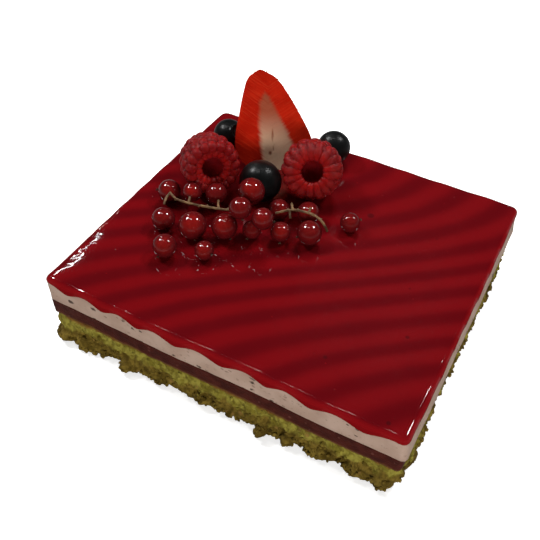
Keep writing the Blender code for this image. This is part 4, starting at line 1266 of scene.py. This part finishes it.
# %% Currants by Geometry Nodes
tree, given = start_tree("currants on points", [("Flatness", "NodeSocketFloat", 0.98)])
ball = add_node(tree, "GeometryNodeMeshUVSphere", {"Segments": 40, "Rings": 26, "Radius": 1.0}).outputs[0]
ball = with_value(tree, ball, "on_berry", add_node(tree, "GeometryNodeInputPosition").outputs[0])
radius = stored(tree, "radius", "FLOAT")
tall = maths(tree, "MULTIPLY", radius, given["Flatness"])
shape = add_node(tree, "ShaderNodeCombineXYZ", {0: radius, 1: radius, 2: tall}).outputs[0]
berries = add_node(tree, "GeometryNodeInstanceOnPoints", {
    "Points": given["Geometry"], "Instance": ball, "Rotation": stored(tree, "turn"),
    "Scale": shape}).outputs[0]
berries = with_value(tree, berries, "tone", random_value(tree, 0.0, 1.0, 9), "FLOAT", "INSTANCE")
end_tree(tree, berries, currant)
print("currant tree:", len(tree.nodes), "nodes")

# %% Set the currants in place
centres, radii, turned, tips = [], [], [], []
names = ["currant_%02d" % number for number in range(1, 18)]
for name, stub in zip(names, STUBS):
    way = pointing(*stub)
    low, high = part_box(name)
    radius_here = min(high[axis] - low[axis] for axis in range(3)) / 2
    # The flower end makes the solid's box longer on its own side, so the berry fills the other end.
    centre = Vector([high[axis] - radius_here if way[axis] < 0 else low[axis] + radius_here
                     for axis in range(3)])
    if low.z - GLAZE_TOP < RESTS_WITHIN:
        centre.z -= low.z - GLAZE_TOP
    centres.append(tuple(centre))
    radii.append(radius_here)
    turned.extend(way.to_track_quat("Z", "Y").to_euler())
    tips.append((centre + way * radius_here * 0.97, way))
bedding = bpy.data.meshes.new("currant places")
bedding.from_pydata(centres, [], [])
bedding.attributes.new("radius", "FLOAT", "POINT").data.foreach_set("value", radii)
bedding.attributes.new("turn", "FLOAT_VECTOR", "POINT").data.foreach_set("vector", turned)
currant_mesh = grown("currants", bedding, tree, {"Flatness": 0.98})
currant_mesh.shade_smooth()
add_piece("currants", currant_mesh, currant, "currant_skin", *names)

# %% [markdown]
# ## Dry flower ends
# What is left of the flower is a small brown tuft at the tip of each currant. No two are alike, so mesh
# code bends every petal its own way, instead of one tuft set seventeen times.

# %% Dry flower ends
dry, tree, shader, where = start_finish("dry_flower_end", Roughness=0.8)
dry_color = mottled(tree, where, 900, (0.018, 0.009, 0.006), (0.085, 0.052, 0.032))["Color"]
tree.links.new(dry_color, shader.inputs["Base Color"])


def flower_end(centre, way, rng):
    """A tuft of five dry petals round a sixth that stands up, as an open bmesh of closed slivers."""
    turn = way.to_track_quat("Z", "Y").to_matrix()
    tuft = bmesh.new()
    for k in range(6):
        angle = 2 * math.pi * k / 5 + rng.uniform(-0.4, 0.4)
        lean = 0.25 if k == 5 else rng.uniform(0.35, 0.8)
        length = rng.uniform(0.6, 1.1) * MM
        sliver = bmesh.ops.create_icosphere(tuft, subdivisions=2, radius=0.5)
        stretch = Matrix.Diagonal((0.28 * MM, 0.18 * MM, length, 1))
        tilt = Matrix.Rotation(angle, 4, "Z") @ Matrix.Rotation(lean, 4, "Y")
        bmesh.ops.transform(tuft, matrix=tilt @ Matrix.Translation((0, 0, length / 2)) @ stretch,
                            verts=sliver["verts"])
    bmesh.ops.transform(tuft, matrix=Matrix.Translation(centre) @ turn.to_4x4(), verts=tuft.verts)
    return tuft


rng = random.Random(11)
ends = bpy.data.meshes.new("flower_ends")
whole = bmesh.new()
for tip, way in tips:
    tuft = flower_end(tip, way, rng)
    piece = bpy.data.meshes.new("tuft")
    tuft.to_mesh(piece)
    tuft.free()
    whole.from_mesh(piece)
    bpy.data.meshes.remove(piece)
for vert in whole.verts:
    vert.co.z = max(vert.co.z, GLAZE_TOP)
whole.to_mesh(ends)
whole.free()
ends.shade_smooth()
add_piece("currant_flower_ends", ends, dry, "currant_stem")

# %% [markdown]
# ## Currant stems
# Each sprig keeps its thin stalk with short twigs, and small nubs where berries have come off. The paths
# are curves; Geometry Nodes resample them, give them a round section and make them slightly knobbly.

# %% Paths of the stalks, in mm over the middle of the glaze
LEFT_STALK = [(-46.9, -9.4, 10.8), (-45.0, -10.7, 9.8), (-39.9, -10.4, 9.5), (-35.5, -9.3, 9.2),
              (-31.4, -8.1, 9.0), (-27.0, -7.0, 9.0), (-23.9, -5.9, 9.0), (-21.9, -5.0, 9.2)]
LEFT_TWIGS = [[(-46.7, -9.6, 10.6), (-46.8, -12.4, 10.9), (-45.2, -15.8, 10.5)],
              [(-38.4, -10.1, 9.4), (-39.3, -8.6, 9.3), (-39.8, -7.2, 9.5)],
              [(-27.6, -7.1, 9.0), (-29.4, -4.6, 8.4), (-30.4, -2.4, 8.3)],
              [(-24.4, -6.0, 9.0), (-23.4, -3.2, 9.6), (-22.6, -1.6, 9.9)]]
RIGHT_STALK = [(-8.8, 1.7, 8.0), (-6.0, 4.2, 8.6), (-2.8, 5.5, 9.3), (1.0, 5.9, 9.7), (5.0, 5.6, 10.0),
               (8.2, 4.6, 9.5), (10.1, 4.2, 7.9), (10.9, 4.5, 5.6)]
RIGHT_TWIGS = [[(-3.6, 5.2, 9.2), (-4.6, 7.0, 9.2), (-5.6, 8.2, 9.0)],
               [(2.6, 5.8, 9.9), (2.3, 7.6, 9.7), (1.9, 8.6, 9.7)],
               [(-4.6, 4.9, 8.9), (-3.9, 3.8, 7.8), (-3.4, 3.1, 6.8)]]
print("twigs:", len(LEFT_TWIGS), "on the left stalk and", len(RIGHT_TWIGS), "on the right one")

# %% Stem finish
stem, tree, shader, where = start_finish("currant_stem", Roughness=0.6)
bark = mottled(tree, where, 320, (0.065, 0.033, 0.014), (0.20, 0.11, 0.046))["Color"]
tree.links.new(bark, shader.inputs["Base Color"])
bump(tree, shader, noise_height(tree, where, 1300, 3.0), 0.00025)
print("stem finish:", len(tree.nodes), "nodes")

# %% Stems by Geometry Nodes
tree, given = start_tree("stalk along a path", [("Stalk radius", "NodeSocketFloat", 0.6 * MM)])
fine = add_node(tree, "GeometryNodeResampleCurve", {0: given["Geometry"], "Length": 0.35 * MM},
                mode="LENGTH").outputs[0]
ring = add_node(tree, "GeometryNodeCurvePrimitiveCircle", {"Resolution": 12, "Radius": given["Stalk radius"]})
tube = add_node(tree, "GeometryNodeCurveToMesh", {"Curve": fine, "Profile Curve": ring.outputs[0],
                                                  "Fill Caps": True}).outputs[0]
end_tree(tree, roughened(tree, tube, 700.0, 1.0, 0.3 * MM), stem)
print("stem tree:", len(tree.nodes), "nodes")

# %% Draw both stems
TWIG_SHARE = 0.68
NUB_PLACES = (0.18, 0.33, 0.47, 0.56, 0.7, 0.84)


def nub(points, share, rng):
    """A short stub that leaves the stalk where a berry has come off."""
    i = int(share * (len(points) - 1))
    start = Vector(points[i]).lerp(Vector(points[i + 1]), share * (len(points) - 1) - i)
    way = Vector((rng.uniform(-0.6, 0.6), rng.choice((-1, 1)), rng.uniform(0.1, 0.8))).normalized()
    return [start, start + way * rng.uniform(0.5, 1.0)]


def stem_curve(name, paths):
    """A curve with a thick main path and thinner twigs."""
    curve = bpy.data.curves.new(name, "CURVE")
    curve.dimensions = "3D"
    for i, path in enumerate(paths):
        spline = curve.splines.new("NURBS")
        spline.points.add(len(path) - 1)
        spline.order_u = min(3, len(path))
        spline.use_endpoint_u = True
        spline.resolution_u = 6
        for point, place in zip(spline.points, path):
            point.co = (place[0] * MM + SHIFT[0], place[1] * MM + SHIFT[1], place[2] * MM + GLAZE_TOP, 1)
            point.radius = 1.0 if i == 0 else TWIG_SHARE
    return curve


rng = random.Random(6)
for name, stalk, twigs in (("currant_stem_left", LEFT_STALK, LEFT_TWIGS),
                           ("currant_stem_right", RIGHT_STALK, RIGHT_TWIGS)):
    nubs = [nub(stalk, share, rng) for share in NUB_PLACES]
    mesh = grown(name + "_bark", stem_curve(name, [stalk] + twigs + nubs), tree, {"Stalk radius": 0.44 * MM})
    mesh.shade_smooth()
    add_piece(name + "_bark", mesh, stem, "currant_stem", name)

# %% [markdown]
# ## Small marks in the glaze
# Tiny bubbles rise in a glaze and set as low domes that catch the light. Geometry Nodes scatter a few of
# them over the flat top, clear of the rim.

# %% Glaze bubbles by Geometry Nodes
tree, given = start_tree("scatter bubbles", [("Bubbles per square cm", "NodeSocketFloat", 0.4),
                                             ("Bubble radius", "NodeSocketFloat", 0.4 * MM)])
density = maths(tree, "MULTIPLY", given["Bubbles per square cm"], PER_SQUARE_CM)
spots = add_node(tree, "GeometryNodeDistributePointsOnFaces", {"Mesh": given["Geometry"], "Density": density,
                                                               "Seed": 8})
dome = add_node(tree, "GeometryNodeMeshUVSphere", {"Segments": 14, "Rings": 8,
                                                   "Radius": given["Bubble radius"]})
flat = add_node(tree, "GeometryNodeTransform", {0: dome.outputs[0], "Scale": (1, 1, 0.35)}).outputs[0]
bubbles = add_node(tree, "GeometryNodeInstanceOnPoints", {
    "Points": spots.outputs["Points"], "Instance": flat,
    "Scale": random_value(tree, 0.4, 1.2, 3)}).outputs[0]
end_tree(tree, bubbles, glaze)
print("bubble tree:", len(tree.nodes), "nodes")

field = bpy.data.meshes.new("bubble field")
corners = [corner for corner, _, _ in block_corners(5 * MM)]
field_height = GLAZE_TOP - 0.04 * MM
field_points = [(c.x + SHIFT[0], c.y + SHIFT[1], field_height) for c in corners]
field.from_pydata(field_points, [], [[0, 1, 2, 3]])
bubble_mesh = grown("glaze_bubbles", field, tree, {"Bubbles per square cm": 0.45, "Bubble radius": 0.38 * MM})
bubble_mesh.shade_smooth()
add_piece("glaze_bubbles", bubble_mesh, glaze, "red_glaze")

# %% [markdown]
# ## Sizes and finish
# The box of the CAD model was measured at the start, and the box of the dressed cake is measured now. Both
# are printed, so that they can be compared.

# %% Write the sizes and finish
low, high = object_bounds()
print("visual box in mm:", [round(v / MM, 1) for v in high - low])
